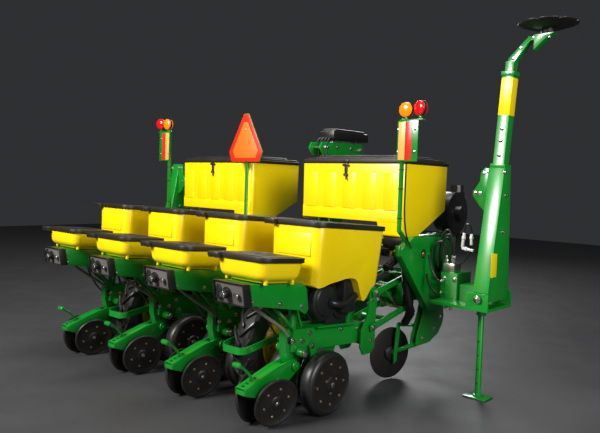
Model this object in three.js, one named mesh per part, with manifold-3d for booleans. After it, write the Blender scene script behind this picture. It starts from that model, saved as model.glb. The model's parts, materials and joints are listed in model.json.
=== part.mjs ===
// Four-row mounted corn planter with dry fertiliser tanks, vacuum fan and one folding row marker.
// Millimetres, +Z up, +Y is the direction of travel, +X is the right-hand side.
// Inside this file z = 0 is the ground and y = 0 the closing wheels' axles; the group at the end
// moves the origin to the middle of the hitch face, where the tractor takes the machine.
import * as THREE from "three";
import { mergeVertices } from "three/addons/utils/BufferGeometryUtils.js";
import Module from "manifold-3d";

const wasm = await Module();
wasm.setup();

// ---------------------------------------------------------------- driving dimensions
const ROW_SPACING = 700;
const ROW_X = [-1.5, -0.5, 0.5, 1.5].map((n) => n * ROW_SPACING);
const UNIT_TILT = -4 * (Math.PI / 180); // the parked row units hang a little nose down
const GAUGE = { y: 385, z: 205, r: 205, inner: 104, width: 108 };
const CLOSING = { r: 152, rim: 4, x: 92, stagger: 36, camber: 9 * (Math.PI / 180), toe: 12 * (Math.PI / 180) };
CLOSING.z = CLOSING.r * Math.cos(CLOSING.camber) + CLOSING.rim * Math.sin(CLOSING.camber);
const LINK_PIN_R = 13;
const RUNNING_GAP = 2;
const LINK_REAR = { y: 899, upperZ: 754, lowerZ: 514 }; // before the unit is tilted
const LINK_RUN = { y: 412, z: 92 };
const TAIL_PIVOT = { y: 190, z: 317 }; // where the closing arm hangs, before the unit is tilted // from the unit's pins to the toolbar's pins
const TOOLBAR = { y: 1545, z: 700, size: 178, halfLength: 1309.5 };
const HITCH_FACE = { y: 1900, z: 700 };
const TYRE = { x: 700, y: 440, z: 362, r: 362, width: 180, rim: 195, armGap: 23 };
const SHAFT = { y: 1270, z: 655, r: 28 }; // the transport wheels' rockshaft
const TANK = { x0: 292, x1: 1262, y0: 1090, y1: 1710, top: 1626, wall: 12 };
const WING = { x: 1310, thick: 8 };
const MARKER = { x: 1798, y: 1450, pivotZ: 735, armTop: 1620, lean: 3.5 * (Math.PI / 180) };
const DISC = { r: 188, out: 236, up: 164 }; // the marker disc, from the top of its arm
const STAND = { x: 1712, y: 1450, r: 22, top: 940 };
const GREEN = { color: 0x0b7a26, roughness: 0.35, metalness: 0.1 };
const YELLOW = { color: 0xf6dc12, roughness: 0.4, metalness: 0 };
const BLACK = { color: 0x1c1b1b, roughness: 0.6, metalness: 0 };

// ---------------------------------------------------------------- solids
const toSolid = (geometry) => {
  const g = geometry.index ? geometry.toNonIndexed() : geometry;
  const bare = new THREE.BufferGeometry().setAttribute("position", g.getAttribute("position"));
  const merged = mergeVertices(bare, 1e-3);
  const mesh = { numProp: 3, vertProperties: merged.attributes.position.array, triVerts: new Uint32Array(merged.index.array) };
  return new wasm.Manifold(new wasm.Mesh(mesh));
};

const toMesh = (name, solid, look) => {
  const m = solid.getMesh();
  const g = new THREE.BufferGeometry();
  g.setAttribute("position", new THREE.BufferAttribute(m.vertProperties, 3));
  g.setIndex(new THREE.BufferAttribute(m.triVerts, 1));
  g.computeVertexNormals();
  const mesh = new THREE.Mesh(g, new THREE.MeshStandardMaterial(look));
  mesh.name = name;
  return mesh;
};

const joined = (...solids) => solids.reduce((a, b) => a.add(b));
const moved = (geometry, x, y, z) => toSolid(geometry.translate(x, y, z));

// A block between two corners.
const block = (x0, x1, y0, y1, z0, z1) =>
  moved(new THREE.BoxGeometry(x1 - x0, y1 - y0, z1 - z0), (x0 + x1) / 2, (y0 + y1) / 2, (z0 + z1) / 2);

// An outline of [y, z] points pushed along X.
const plateYZ = (points, x0, x1) => {
  const shape = new THREE.Shape(points.map(([y, z]) => new THREE.Vector2(y, z)));
  const g = new THREE.ExtrudeGeometry(shape, { depth: x1 - x0, bevelEnabled: false });
  const turn = new THREE.Matrix4().makeBasis(
    new THREE.Vector3(0, 1, 0), new THREE.Vector3(0, 0, 1), new THREE.Vector3(1, 0, 0));
  return moved(g.applyMatrix4(turn), x0, 0, 0);
};

// An outline of [x, z] points pushed along Y.
const plateXZ = (points, y0, y1) => {
  const shape = new THREE.Shape(points.map(([x, z]) => new THREE.Vector2(x, z)));
  const g = new THREE.ExtrudeGeometry(shape, { depth: y1 - y0, bevelEnabled: false });
  return moved(g.rotateX(Math.PI / 2), 0, y1, 0);
};

// A round bar between two points.
const bar = (a, b, r, sides = 8) => {
  const from = new THREE.Vector3(...a);
  const to = new THREE.Vector3(...b);
  const g = new THREE.CylinderGeometry(r, r, from.distanceTo(to), sides);
  const up = new THREE.Vector3(0, 1, 0);
  g.applyQuaternion(new THREE.Quaternion().setFromUnitVectors(up, to.clone().sub(from).normalize()));
  const mid = from.add(to).multiplyScalar(0.5);
  return moved(g, mid.x, mid.y, mid.z);
};

// A profile of [radius, x] points turned about an axle along X, with a flat at the bottom:
// the flats' middles lie on the radius, so that a wheel stands at its true height.
const turnedX = (profile, x, y, z, sides) => {
  const grown = 1 / Math.cos(Math.PI / sides);
  const outline = profile.map(([r, h]) => new THREE.Vector2(r * grown, h));
  if (THREE.ShapeUtils.area(outline) < 0) outline.reverse();
  const g = new THREE.LatheGeometry(outline, sides, Math.PI / sides);
  return moved(g.rotateZ(-Math.PI / 2), x, y, z);
};

const roundedRect = (x0, x1, y0, y1, r) => {
  const s = new THREE.Shape();
  s.moveTo(x0 + r, y0);
  s.lineTo(x1 - r, y0);
  s.absarc(x1 - r, y0 + r, r, -Math.PI / 2, 0, false);
  s.lineTo(x1, y1 - r);
  s.absarc(x1 - r, y1 - r, r, 0, Math.PI / 2, false);
  s.lineTo(x0 + r, y1);
  s.absarc(x0 + r, y1 - r, r, Math.PI / 2, Math.PI, false);
  s.lineTo(x0, y0 + r);
  s.absarc(x0 + r, y0 + r, r, Math.PI, Math.PI * 1.5, false);
  return s;
};

// A rounded box whose section shrinks by taper on every side from its top to its bottom.
const tub = (x0, x1, y0, y1, z0, z1, r, taper = 0, steps = 2) => {
  const shape = roundedRect(x0, x1, y0, y1, r);
  const g = new THREE.ExtrudeGeometry(shape, { depth: z1 - z0, bevelEnabled: false, curveSegments: steps });
  const p = g.getAttribute("position");
  const cx = (x0 + x1) / 2;
  const cy = (y0 + y1) / 2;
  const sx = 1 - (2 * taper) / (x1 - x0);
  const sy = 1 - (2 * taper) / (y1 - y0);
  for (let i = 0; i < p.count; i++) {
    if (p.getZ(i) > (z1 - z0) / 2) continue;
    p.setXY(i, cx + (p.getX(i) - cx) * sx, cy + (p.getY(i) - cy) * sy);
  }
  return moved(g, 0, 0, z0);
};

const both = (make) => joined(make(-1), make(1));

// ---------------------------------------------------------------- one row unit
// Places a point of the untilted unit where the tilt about the gauge axle takes it.
const tilted = (y, z) => {
  const c = Math.cos(UNIT_TILT);
  const s = Math.sin(UNIT_TILT);
  const dy = y - GAUGE.y;
  const dz = z - GAUGE.z;
  return { y: GAUGE.y + dy * c - dz * s, z: GAUGE.z + dy * s + dz * c };
};

const unitFrame = () => {
  const beam = block(-55, 55, 150, 870, 405, 545);
  const cheek = [[830, 325], [925, 330], [958, 370], [940, 775], [925, 795], [868, 795], [850, 600], [790, 500], [790, 380]];
  const cheeks = both((s) => plateYZ(cheek, s * 96 - 5, s * 96 + 5));
  const tie = block(-96, 96, 805, 855, 400, 500);
  const hanger = plateYZ([[330, 450], [640, 450], [600, 300], [560, 150], [470, 120], [350, 150]], -14, 14);
  const post = bar([0, 186, 795], [0, 186, 400], 30, 12);
  const head = plateYZ([[110, 545], [235, 545], [240, 405], [208, 280], [170, 280], [115, 420]], -30, 30);
  const skirt = [[-331, 845], [118, 845], [158, 812], [188, 680], [160, 652], [105, 680], [-297, 725]];
  const skirts = both((s) => plateYZ(skirt, s * 124 - 3, s * 124 + 3));
  const deck = block(-124, 124, -326, 118, 837, 845);
  const saddle = block(-124, 124, 140, 160, 672, 800);
  const meterShelf = block(-90, 90, 340, 740, 545, 556);
  const hopperLegs = both((s) => block(s * 80 - 10, s * 80 + 10, 640, 656, 550, 868));
  const holes = joined(
    bar([-40, GAUGE.y, GAUGE.z], [40, GAUGE.y, GAUGE.z], 20),
    bar([-60, TAIL_PIVOT.y, TAIL_PIVOT.z], [60, TAIL_PIVOT.y, TAIL_PIVOT.z], 15),
    bar([-120, LINK_REAR.y, LINK_REAR.upperZ], [120, LINK_REAR.y, LINK_REAR.upperZ], LINK_PIN_R + RUNNING_GAP),
    bar([-120, LINK_REAR.y, LINK_REAR.lowerZ], [120, LINK_REAR.y, LINK_REAR.lowerZ], LINK_PIN_R + RUNNING_GAP));
  return joined(beam, cheeks, tie, hanger, post, head, skirts, deck, saddle, meterShelf, hopperLegs).subtract(holes);
};

const seedHopper = () => {
  const side = [[133, 1190], [838, 1190], [810, 900], [790, 722], [762, 708], [738, 728], [712, 850], [650, 882],
    [480, 895], [290, 860], [192, 824], [178, 890]];
  const outer = plateYZ(side, -218, 218).intersect(tub(-218, 218, 133, 838, 650, 1190, 70, 18));
  const inner = tub(-208, 208, 143, 828, 915, 1230, 60, 16);
  const spout = block(-60, 60, 400, 520, 870, 930);
  return outer.subtract(joined(inner, spout));
};

const seedLid = () =>
  joined(tub(-228, 228, 121, 849, 1191, 1226, 76, 0, 3), block(-228, -150, 96, 160, 1191, 1216));

const granularHopper = () => {
  const body = tub(-212, 212, -309, 44, 862, 974, 62, 30);
  const feet = both((s) => block(s * 80 - 45, s * 80 + 45, -240, -20, 845.4, 863));
  const inner = tub(-203, 203, -300, 35, 871, 985, 54, 30);
  const outlet = block(-30, 30, -150, -90, 855, 890);
  return joined(body, feet).subtract(joined(inner, outlet));
};

const granularLid = () =>
  joined(tub(-224, 224, -321, 56, 975, 1008, 70, 0, 3), block(-224, -150, -345, -290, 975, 998));

const gaugeWheels = () => {
  const { inner, width, r } = GAUGE;
  const half = (s) => [
    [12, inner * s], [40, inner * s], [150, (inner + 26) * s], [160, (inner + 4) * s], [r, (inner + 16) * s],
    [r, (inner + width - 34) * s], [r - 30, (inner + width) * s], [0, (inner + width) * s]];
  const profile = [...half(-1).reverse(), ...half(1)];
  return turnedX(profile, 0, GAUGE.y, GAUGE.z, 16);
};

// The direction a closing wheel's axle points: outward, a little back and a little down.
const closingAxis = (s) => new THREE.Vector3(
  s * Math.cos(CLOSING.toe) * Math.cos(CLOSING.camber),
  -Math.sin(CLOSING.toe) * Math.cos(CLOSING.camber),
  -Math.sin(CLOSING.camber));

const closingArm = (wheelZ) => {
  const side = [[-172, 250], [-172, 208], [-60, 178], [40, 168], [235, 290], [240, 340], [215, 366], [165, 366], [60, 352]];
  const body = plateYZ(side, -45, 45);
  const lug = plateYZ([[-76, 200], [34, 200], [24, 130], [-66, 130]], -20, 20);
  const slot = block(-12, 12, -110, -60, 180, 330);
  const notch = block(-31.5, 31.5, 100, 260, 200, 560);
  const axles = both((s) => {
    const centre = new THREE.Vector3(s * CLOSING.x, s > 0 ? 0 : -CLOSING.stagger, wheelZ);
    const along = (d) => centre.clone().addScaledVector(closingAxis(s), d).toArray();
    return bar(along(-86), along(-3), 9.5);
  });
  const pin = bar([-58, 198, 330], [58, 198, 330], 12);
  const lever = joined(bar([0, -40, 195], [0, -134, 372], 9, 8), bar([-36, -136, 372], [36, -136, 372], 12, 8));
  return joined(body, lug, axles).subtract(joined(slot, notch)).add(joined(pin, lever));
};

const closingWheel = () => turnedX([
  [11, -16], [36, -16], [40, -7], [CLOSING.r, -CLOSING.rim], [CLOSING.r, CLOSING.rim],
  [36, 12], [0, 12], [0, -2], [11, -2], [11, -16]], 0, 0, 0, 16);

// One pair of parallel links, with the cross pin and cross tube that hold them together.
const links = (z, x) => {
  const from = tilted(LINK_REAR.y, z);
  const to = { y: from.y + LINK_RUN.y, z: from.z + LINK_RUN.z };
  const arm = (s) => {
    const slope = Math.atan2(LINK_RUN.z, LINK_RUN.y);
    const length = Math.hypot(LINK_RUN.y, LINK_RUN.z);
    const g = new THREE.BoxGeometry(12, length + 56, 46);
    return moved(g.rotateX(slope), s * x, (from.y + to.y) / 2, (from.z + to.z) / 2);
  };
  const pin = (p) => bar([-x, p.y, p.z], [x, p.y, p.z], LINK_PIN_R);
  const cross = { y: from.y + LINK_RUN.y * 0.42, z: from.z + LINK_RUN.z * 0.42 };
  return joined(both(arm), pin(from), pin(to), bar([-x, cross.y, cross.z], [x, cross.y, cross.z], 17, 8));
};

const rowUnit = (n, x) => {
  const row = new THREE.Group();
  row.position.x = x;
  const tiltGroup = new THREE.Group();
  tiltGroup.rotation.x = UNIT_TILT;
  const zero = tilted(0, 0);
  tiltGroup.position.set(0, zero.y, zero.z);
  const name = (piece) => `row${n}_${piece}`;
  tiltGroup.add(
    toMesh(name("frame"), unitFrame(), GREEN),
    toMesh(name("seed_hopper"), seedHopper(), YELLOW),
    toMesh(name("seed_lid"), seedLid(), BLACK),
    toMesh(name("granular_hopper"), granularHopper(), YELLOW),
    toMesh(name("granular_lid"), granularLid(), BLACK));
  row.add(
    tiltGroup,
    toMesh(name("gauge_wheels"), gaugeWheels(), BLACK),
    toMesh(name("upper_links"), links(LINK_REAR.upperZ, 114), GREEN),
    toMesh(name("lower_links"), links(LINK_REAR.lowerZ, 114), GREEN));
  const armPivot = tilted(TAIL_PIVOT.y, TAIL_PIVOT.z);
  const drop = armPivot.z - 330;
  const arm = toMesh(name("closing_arm"), closingArm(CLOSING.z - drop), GREEN);
  arm.position.set(0, armPivot.y - 198, drop);
  row.add(arm);
  for (const [side, s] of [["left", -1], ["right", 1]]) {
    const wheel = toMesh(name(`closing_wheel_${side}`), closingWheel(), BLACK);
    wheel.rotation.order = "ZYX";
    wheel.rotation.z = (s > 0 ? 0 : Math.PI) - s * CLOSING.toe;
    wheel.rotation.y = CLOSING.camber;
    wheel.position.set(s * CLOSING.x, armPivot.y - 198 - (s > 0 ? 0 : CLOSING.stagger), CLOSING.z);
    row.add(wheel);
  }
  return row;
};

// ---------------------------------------------------------------- main frame
const linkPin = (z) => {
  const p = tilted(LINK_REAR.y, z);
  return { y: p.y + LINK_RUN.y, z: p.z + LINK_RUN.z };
};

// The two cheeks that carry a row unit's links on the toolbar, and the fertiliser opener's shank.
const rowBracket = (x) => {
  const top = linkPin(LINK_REAR.upperZ);
  const low = linkPin(LINK_REAR.lowerZ);
  const back = TOOLBAR.y - TOOLBAR.size / 2;
  const cheek = [[low.y - 28, low.z - 30], [back, low.z - 30], [back, top.z + 30], [top.y - 28, top.z + 30]];
  const cheeks = both((s) => plateYZ(cheek, x + s * 96 - 5, x + s * 96 + 5));
  const pad = block(x - 101, x + 101, back - 12, back + 2, low.z - 30, top.z + 30);
  const holes = joined(...[top, low].map((p) => bar([x - 130, p.y, p.z], [x + 130, p.y, p.z], LINK_PIN_R + RUNNING_GAP)));
  return joined(cheeks, pad).subtract(holes);
};

const toolbar = () => {
  const { y, z, size, halfLength } = TOOLBAR;
  const h = size / 2;
  const tube = block(-halfLength, halfLength, y - h, y + h, z - h, z + h)
    .subtract(block(-halfLength - 1, halfLength + 1, y - h + 10, y + h - 10, z - h + 10, z + h - 10));
  const brackets = joined(...ROW_X.map(rowBracket));
  const mastLeg = (s) => plateYZ(
    [[y + h - 2, z - 70], [HITCH_FACE.y - 10, z - 70], [HITCH_FACE.y - 10, z + 250], [HITCH_FACE.y + 60, 1790], [HITCH_FACE.y - 60, 1790], [y + h + 40, z + 140],
      [y + h - 2, z + 88]], s * 62 - 8, s * 62 + 8);
  const hitchPlate = block(-330, 330, HITCH_FACE.y - 16, HITCH_FACE.y, z - 70, z + 70);
  const lowerLug = (s) => plateYZ(
    [[y + h - 2, z - 200], [HITCH_FACE.y + 70, z - 210], [HITCH_FACE.y + 100, z - 160], [HITCH_FACE.y + 60, z - 90],
      [HITCH_FACE.y - 20, z + 60], [y + h - 2, z + 60]], s * 390 - 12, s * 390 + 12);
  const lugTie = both((s) => block(s * 360 - 32, s * 360 + 32, HITCH_FACE.y - 60, HITCH_FACE.y - 44, z - 60, z + 40));
  const plateTie = both((s) => block(s * 300 - 30, s * 300 + 30, HITCH_FACE.y - 60, HITCH_FACE.y - 15, z - 50, z + 30));
  const hitchPins = both((s) => bar([s * 380, HITCH_FACE.y + 62, z - 160], [s * 500, HITCH_FACE.y + 62, z - 160], 18, 16));
  const head = (s) => plateYZ([[1620, 1720], [2160, 1735], [2205, 1790], [2160, 1850], [1590, 1835], [1560, 1780]], s * 62 - 8, s * 62 + 8);
  const cap = block(-70, 70, 1700, 2080, 1770, 1784);
  const uprights = joined(...[-1180, -370, 370, 1180].map((x) => joined(
    block(x - 25, x + 25, y - 40, y + 10, z + h - 1, 1090),
    block(x - 30, x + 30, 1130, 1690, 1086, 1106))));
  const rails = joined(
    block(-1240, 1240, 1180, 1230, 1076, 1088),
    block(-1240, 1240, 1560, 1610, 1076, 1088));
  const shaftHangers = joined(...[-1, 1].flatMap((s) => [500, 880].map((x) => {
    const ear = plateYZ([[SHAFT.y - 45, SHAFT.z - 45], [SHAFT.y + 45, SHAFT.z - 60], [y - h + 2, z - h + 4], [y - h + 2, z - 20],
      [SHAFT.y + 30, SHAFT.z + 48], [SHAFT.y - 45, SHAFT.z + 45]], s * x - 7, s * x + 7);
    return ear.subtract(bar([s * x - 20, SHAFT.y, SHAFT.z], [s * x + 20, SHAFT.y, SHAFT.z], SHAFT.r + 1.5, 16));
  })));
  const signPost = joined(
    block(-250, -200, 985, 1180, 1052, 1077),
    bar([-224, 968, 1030], [-224, 968, 1960], 14, 10),
    plateXZ([[-430, 1712], [-395, 1628], [-53, 1628], [-18, 1712], [-195, 2030], [-253, 2030]], 946, 953)
      .add(block(-236, -212, 950, 970, 1640, 1950)),
    block(-240, -208, 960, 990, 1040, 1077));
  return joined(tube, brackets, both(mastLeg), both(head), hitchPlate, both(lowerLug), lugTie, plateTie, hitchPins, cap, uprights, rails,
    shaftHangers, signPost);
};

// The guard plate at a toolbar end, with its folded rear edge, and the lamp post that stands on it.
const wing = (s) => {
  const outline = [[1165, 1112], [1755, 1090], [1740, 545], [1400, 560], [985, 1015]];
  const a = s * WING.x;
  const plate = plateYZ(outline, Math.min(a, a + s * WING.thick), Math.max(a, a + s * WING.thick));
  const windows = joined(...[[1290, 985], [1560, 690]].map(([y, z]) => bar([a - 30, y, z], [a + 30, y, z], 34)));
  const backing = joined(...[[1290, 985], [1560, 690]].map(([y, z]) =>
    bar([a - s * 22, y, z], [a + s * 2, y, z], 48).subtract(bar([a - s * 14, y, z], [a + s * 9, y, z], 34))));
  const x0 = Math.min(a - s * 48, a);
  const x1 = Math.max(a - s * 48, a);
  const fold = joined(
    plateYZ([[985, 1015], [1165, 1112], [1170, 1104], [996, 1006]], x0, x1),
    plateYZ([[985, 1015], [1400, 560], [1408, 566], [996, 1015]], x0, x1));
  const post = joined(
    bar([a - s * 4, 1100, 1070], [s * 1318, 968, 1165], 16, 10),
    bar([s * 1318, 968, 1155], [s * 1318, 968, 1925], 16, 10));
  const board = joined(
    block(s > 0 ? 1290 : -1450, s > 0 ? 1450 : -1290, 945, 949, 1636, 1908),
    block(s * 1318 - 12, s * 1318 + 12, 948, 965, 1660, 1890),
    block(s > 0 ? 1300 : -1480, s > 0 ? 1480 : -1300, 950, 985, 1910, 1916),
    bar([s * 1342, 968, 1914], [s * 1342, 968, 1935], 9, 8),
    bar([s * 1452, 968, 1914], [s * 1452, 968, 1935], 9, 8));
  return joined(plate.subtract(windows), backing, fold, post, board);
};

const tank = (s) => {
  const a = Math.min(s * TANK.x0, s * TANK.x1);
  const b = Math.max(s * TANK.x0, s * TANK.x1);
  const side = [[1106, 1107], [1320, 1107], [1330, 1120], [1700, 1300], [1710, 1330], [1710, TANK.top], [TANK.y0, TANK.top], [1094, 1120]];
  const plan = tub(a, b, TANK.y0, TANK.y1, 1100, TANK.top, 40, 6);
  const rise = plateXZ([[a, 1180], [a + 60, 1235], [b - 230, 1240], [b - 200, 1107], [b, 1107], [b, 1700], [a, 1700]], 1000, 1800);
  const outer = plateYZ(side, a, b).intersect(plan).intersect(rise);
  const hollowSide = [[1112, 1262], [1640, 1300], [1692, 1340], [1694, 1640], [1106, 1640]];
  const hollow = plateYZ(hollowSide, a + 14, b - 14);
  const sump = block(b - 180, b - 20, 1120, 1310, 1125, 1300);
  return outer.subtract(joined(hollow, sump));
};

const tankLid = (s) => {
  const a = Math.min(s * TANK.x0, s * TANK.x1);
  const b = Math.max(s * TANK.x0, s * TANK.x1);
  return joined(
    tub(a - 8, b + 8, TANK.y0 - 10, TANK.y1 + 8, TANK.top + 1, TANK.top + 46, 46),
    tub(a + 90, b - 90, TANK.y0 + 70, TANK.y1 - 70, TANK.top + 45, TANK.top + 66, 60, -14));
};

// The flat bar that wraps around the back of each tyre.
const guard = (s) => {
  const rear = TYRE.y - TYRE.r - 40;
  const z0 = TYRE.z + 30;
  const z1 = z0 + 40;
  const inner = s * (TYRE.x + TYRE.width / 2 + TYRE.armGap);
  const outer = s * (TYRE.x - TYRE.width / 2 - TYRE.armGap + 4);
  const side = (x) => block(x - 4, x + 4, rear, TYRE.y, z0, z1);
  return joined(side(inner), side(outer), block(Math.min(inner, outer), Math.max(inner, outer), rear, rear + 8, z0, z1));
};

const rockshaft = () => {
  const shaft = bar([-1060, SHAFT.y, SHAFT.z], [1060, SHAFT.y, SHAFT.z], SHAFT.r, 16);
  const arm = (s) => {
    const x = s * (TYRE.x + TYRE.width / 2 + TYRE.armGap);
    const plate = plateYZ([[SHAFT.y + 40, SHAFT.z - 35], [SHAFT.y + 30, SHAFT.z + 42], [SHAFT.y - 50, SHAFT.z + 42],
      [TYRE.y - 40, TYRE.z + 45], [TYRE.y - 45, TYRE.z - 38], [TYRE.y + 40, TYRE.z - 42]], x - 8, x + 8);
    return joined(plate, bar([x, TYRE.y, TYRE.z], [s * (TYRE.x - 30), TYRE.y, TYRE.z], 20), guard(s));
  };
  return joined(shaft, both(arm));
};

// Tyre on a dished disc wheel; the closed hub faces the machine's middle.
const transportWheel = (s) => {
  const { r, width, rim } = TYRE;
  const w = width / 2;
  const profile = [[22, 60], [60, 60], [60, 30], [rim - 22, 20], [rim - 14, w - 18], [rim + 8, w - 14], [r - 80, w],
    [r - 14, w - 12], [r, w - 40], [r, -w + 40], [r - 14, -w + 12], [r - 80, -w], [rim + 8, -w + 14], [rim - 14, -w + 18],
    [rim - 22, -8], [60, 2], [52, -40], [0, -40], [0, -34], [22, -34], [22, 60]]
    .map(([radius, x]) => [radius, x * s]);
  return turnedX(profile, 0, 0, 0, 22);
};

// A toolbar end's bracket for a marker arm, with the sleeve of the parking stand.
const markerBase = (s) => {
  const { x, y, pivotZ } = MARKER;
  const across = (a, b, ...rest) => block(Math.min(s * a, s * b), Math.max(s * a, s * b), ...rest);
  const ears = joined(...[y - 226, y + 118].map((e) => across(x - 90, x + 70, e - 8, e + 8, pivotZ - 80, pivotZ + 36)))
    .subtract(bar([s * x, y - 250, pivotZ], [s * x, y + 160, pivotZ], 17));
  const bed = across(1432, x + 70, y - 234, y + 126, pivotZ - 82, pivotZ - 60);
  const spine = across(WING.x + 2, x - 120, y - 60, y + 100, pivotZ - 62, pivotZ + 54);
  const clamp = across(1432, 1560, y - 90, y + 112, pivotZ - 90, pivotZ + 130);
  const base = joined(ears, bed, spine, clamp);
  const down = (z0, z1, r) => bar([s * STAND.x, STAND.y, z0], [s * STAND.x, STAND.y, z1], r, 12);
  const sleeve = down(pivotZ - 150, pivotZ - 62, STAND.r + 12);
  const hole = down(pivotZ - 170, pivotZ + 60, STAND.r + 2);
  return base.add(sleeve).subtract(hole);
};

// The tapered lower arm on its pin; the right one also carries the square tube that the disc's arm slides in.
const markerArm = (s) => {
  const { x, y, pivotZ, armTop } = MARKER;
  const side = [[y - 206, pivotZ + 40], [y - 190, pivotZ - 22], [y + 96, pivotZ - 22], [y + 100, pivotZ + 60],
    [y + 50, armTop], [y - 46, armTop]];
  const box = plateYZ(side, s * x - 54, s * x + 54)
    .subtract(block(s * x - 46, s * x + 46, y - 38, y + 42, pivotZ + 500, armTop + 10));
  const pin = bar([s * x, y - 242, pivotZ], [s * x, y + 136, pivotZ], 14);
  const rib = plateXZ([[x - 54, armTop - 20], [x - 98, armTop - 190], [x - 84, armTop - 240], [x - 54, armTop - 300]]
    .map(([u, w]) => [s * u, w]), y - 30, y - 18);
  const base = joined(box, pin, rib);
  if (s < 0) return base;
  const lean = new THREE.Matrix4().makeRotationY(MARKER.lean);
  const square = (half, z0, z1) => {
    const g = new THREE.BoxGeometry(2 * half, 2 * half, z1 - z0);
    g.translate(0, 0, (z0 + z1) / 2);
    return moved(g.applyMatrix4(lean), x, y + 2, armTop);
  };
  return base.add(square(39, -60, 640)).add(square(47, -90, -2)).subtract(square(31, -400, 660));
};

const markerSlide = () => {
  const { x, y, armTop, lean } = MARKER;
  const turn = new THREE.Matrix4().makeRotationY(lean);
  const g = new THREE.BoxGeometry(58, 58, 560);
  g.translate(0, 0, 430);
  const inner = moved(g.applyMatrix4(turn), x, y + 2, armTop);
  const topX = x + 705 * Math.sin(lean);
  const topZ = armTop + 705 * Math.cos(lean);
  const crank = plateXZ([[topX - 20, topZ - 60], [topX + 24, topZ - 60], [topX + 34, topZ + 4], [topX + 130, topZ + 126],
    [topX + 200, topZ + 132], [topX + 200, topZ + 152], [topX + 120, topZ + 154], [topX - 14, topZ + 24]], y - 22, y + 30);
  const fork = plateXZ([[topX + 160, topZ + 60], [topX + 250, topZ + 140], [topX + 290, topZ + 160], [topX + 160, topZ + 160]],
    y - 34, y + 42);
  const spindle = bar([topX + DISC.out, y, topZ + 140], [topX + DISC.out, y, topZ + DISC.up + 28], 13);
  return joined(inner, crank, fork, spindle);
};

// Notched, dished marker disc with its hub.
const markerDisc = () => {
  const topX = MARKER.x + 705 * Math.sin(MARKER.lean) + DISC.out;
  const topZ = MARKER.armTop + 705 * Math.cos(MARKER.lean) + DISC.up;
  const dish = new THREE.LatheGeometry([[15, 0], [42, 0], [42, 26], [100, 30], [DISC.r, 58], [DISC.r, 64],
    [100, 37], [38, 34], [38, 44], [0, 44], [0, 34], [15, 34], [15, 0]].map(([r, h]) => new THREE.Vector2(r, h)), 20);
  const solid = moved(dish.rotateX(Math.PI / 2), topX, MARKER.y, topZ);
  const notches = Array.from({ length: 8 }, (_, i) => {
    const a = (i * Math.PI) / 4;
    return bar([topX + (DISC.r + 10) * Math.cos(a), MARKER.y + (DISC.r + 10) * Math.sin(a), topZ],
      [topX + (DISC.r + 10) * Math.cos(a), MARKER.y + (DISC.r + 10) * Math.sin(a), topZ + 90], 26, 6);
  });
  return solid.subtract(joined(...notches));
};

const parkingStand = (x) => joined(
  bar([x, STAND.y, 4], [x, STAND.y, STAND.top], STAND.r, 12),
  block(x - 85, x + 85, STAND.y - 65, STAND.y + 65, 0, 10));

// Suction fan beside the tanks: scroll housing, outlet and drive motor.
const fan = () => {
  const scroll = bar([1120, 1890, 1270], [1250, 1890, 1270], 165, 20);
  const outlet = block(1140, 1230, 1890, 2030, 1325, 1435);
  const pipe = bar([1185, 1985, 1330], [1185, 1985, 1490], 52, 12);
  const motor = bar([1040, 1890, 1270], [1125, 1890, 1270], 60, 12);
  const inlet = bar([1245, 1890, 1270], [1300, 1890, 1270], 60, 12);
  const foot = block(1155, 1205, 1670, 1960, 1092, 1112);
  return joined(scroll, outlet, pipe, motor, inlet, foot);
};

const machine = new THREE.Group();
machine.position.set(0, -HITCH_FACE.y, -HITCH_FACE.z);
ROW_X.forEach((x, i) => machine.add(rowUnit(i + 1, x)));

for (const [side, s] of [["left", -1], ["right", 1]]) {
  machine.add(
    toMesh(`end_plate_${side}`, joined(wing(s), markerBase(s)), GREEN),
    toMesh(`tank_${side}`, tank(s), YELLOW),
    toMesh(`tank_lid_${side}`, tankLid(s), BLACK));
  const wheel = toMesh(`transport_wheel_${side}`, transportWheel(s), BLACK);
  wheel.position.set(s * TYRE.x, TYRE.y, TYRE.z);
  machine.add(wheel);
}
machine.add(
  toMesh("toolbar", toolbar().add(fan()), GREEN),
  toMesh("wheel_rockshaft", rockshaft(), GREEN),
  toMesh("marker_arm_right", markerArm(1), GREEN),
  toMesh("marker_arm_left", markerArm(-1), GREEN),
  toMesh("marker_slide", markerSlide(), GREEN),
  toMesh("marker_disc", markerDisc(), BLACK),
  toMesh("stand_right", parkingStand(STAND.x), GREEN),
  toMesh("stand_left", parkingStand(-STAND.x), GREEN));

export default machine;
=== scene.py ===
# %% [markdown]
# # A four-row corn planter
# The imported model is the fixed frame: it says where every body is and how it moves. This script
# clothes it. Each piece is modelled with bmesh operators in metres, in the frame's own axes: +X is
# the machine's right-hand side, +Y the direction of travel and +Z up.

import json
import math

import bmesh
import bpy
from mathutils import Matrix, Vector


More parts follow.
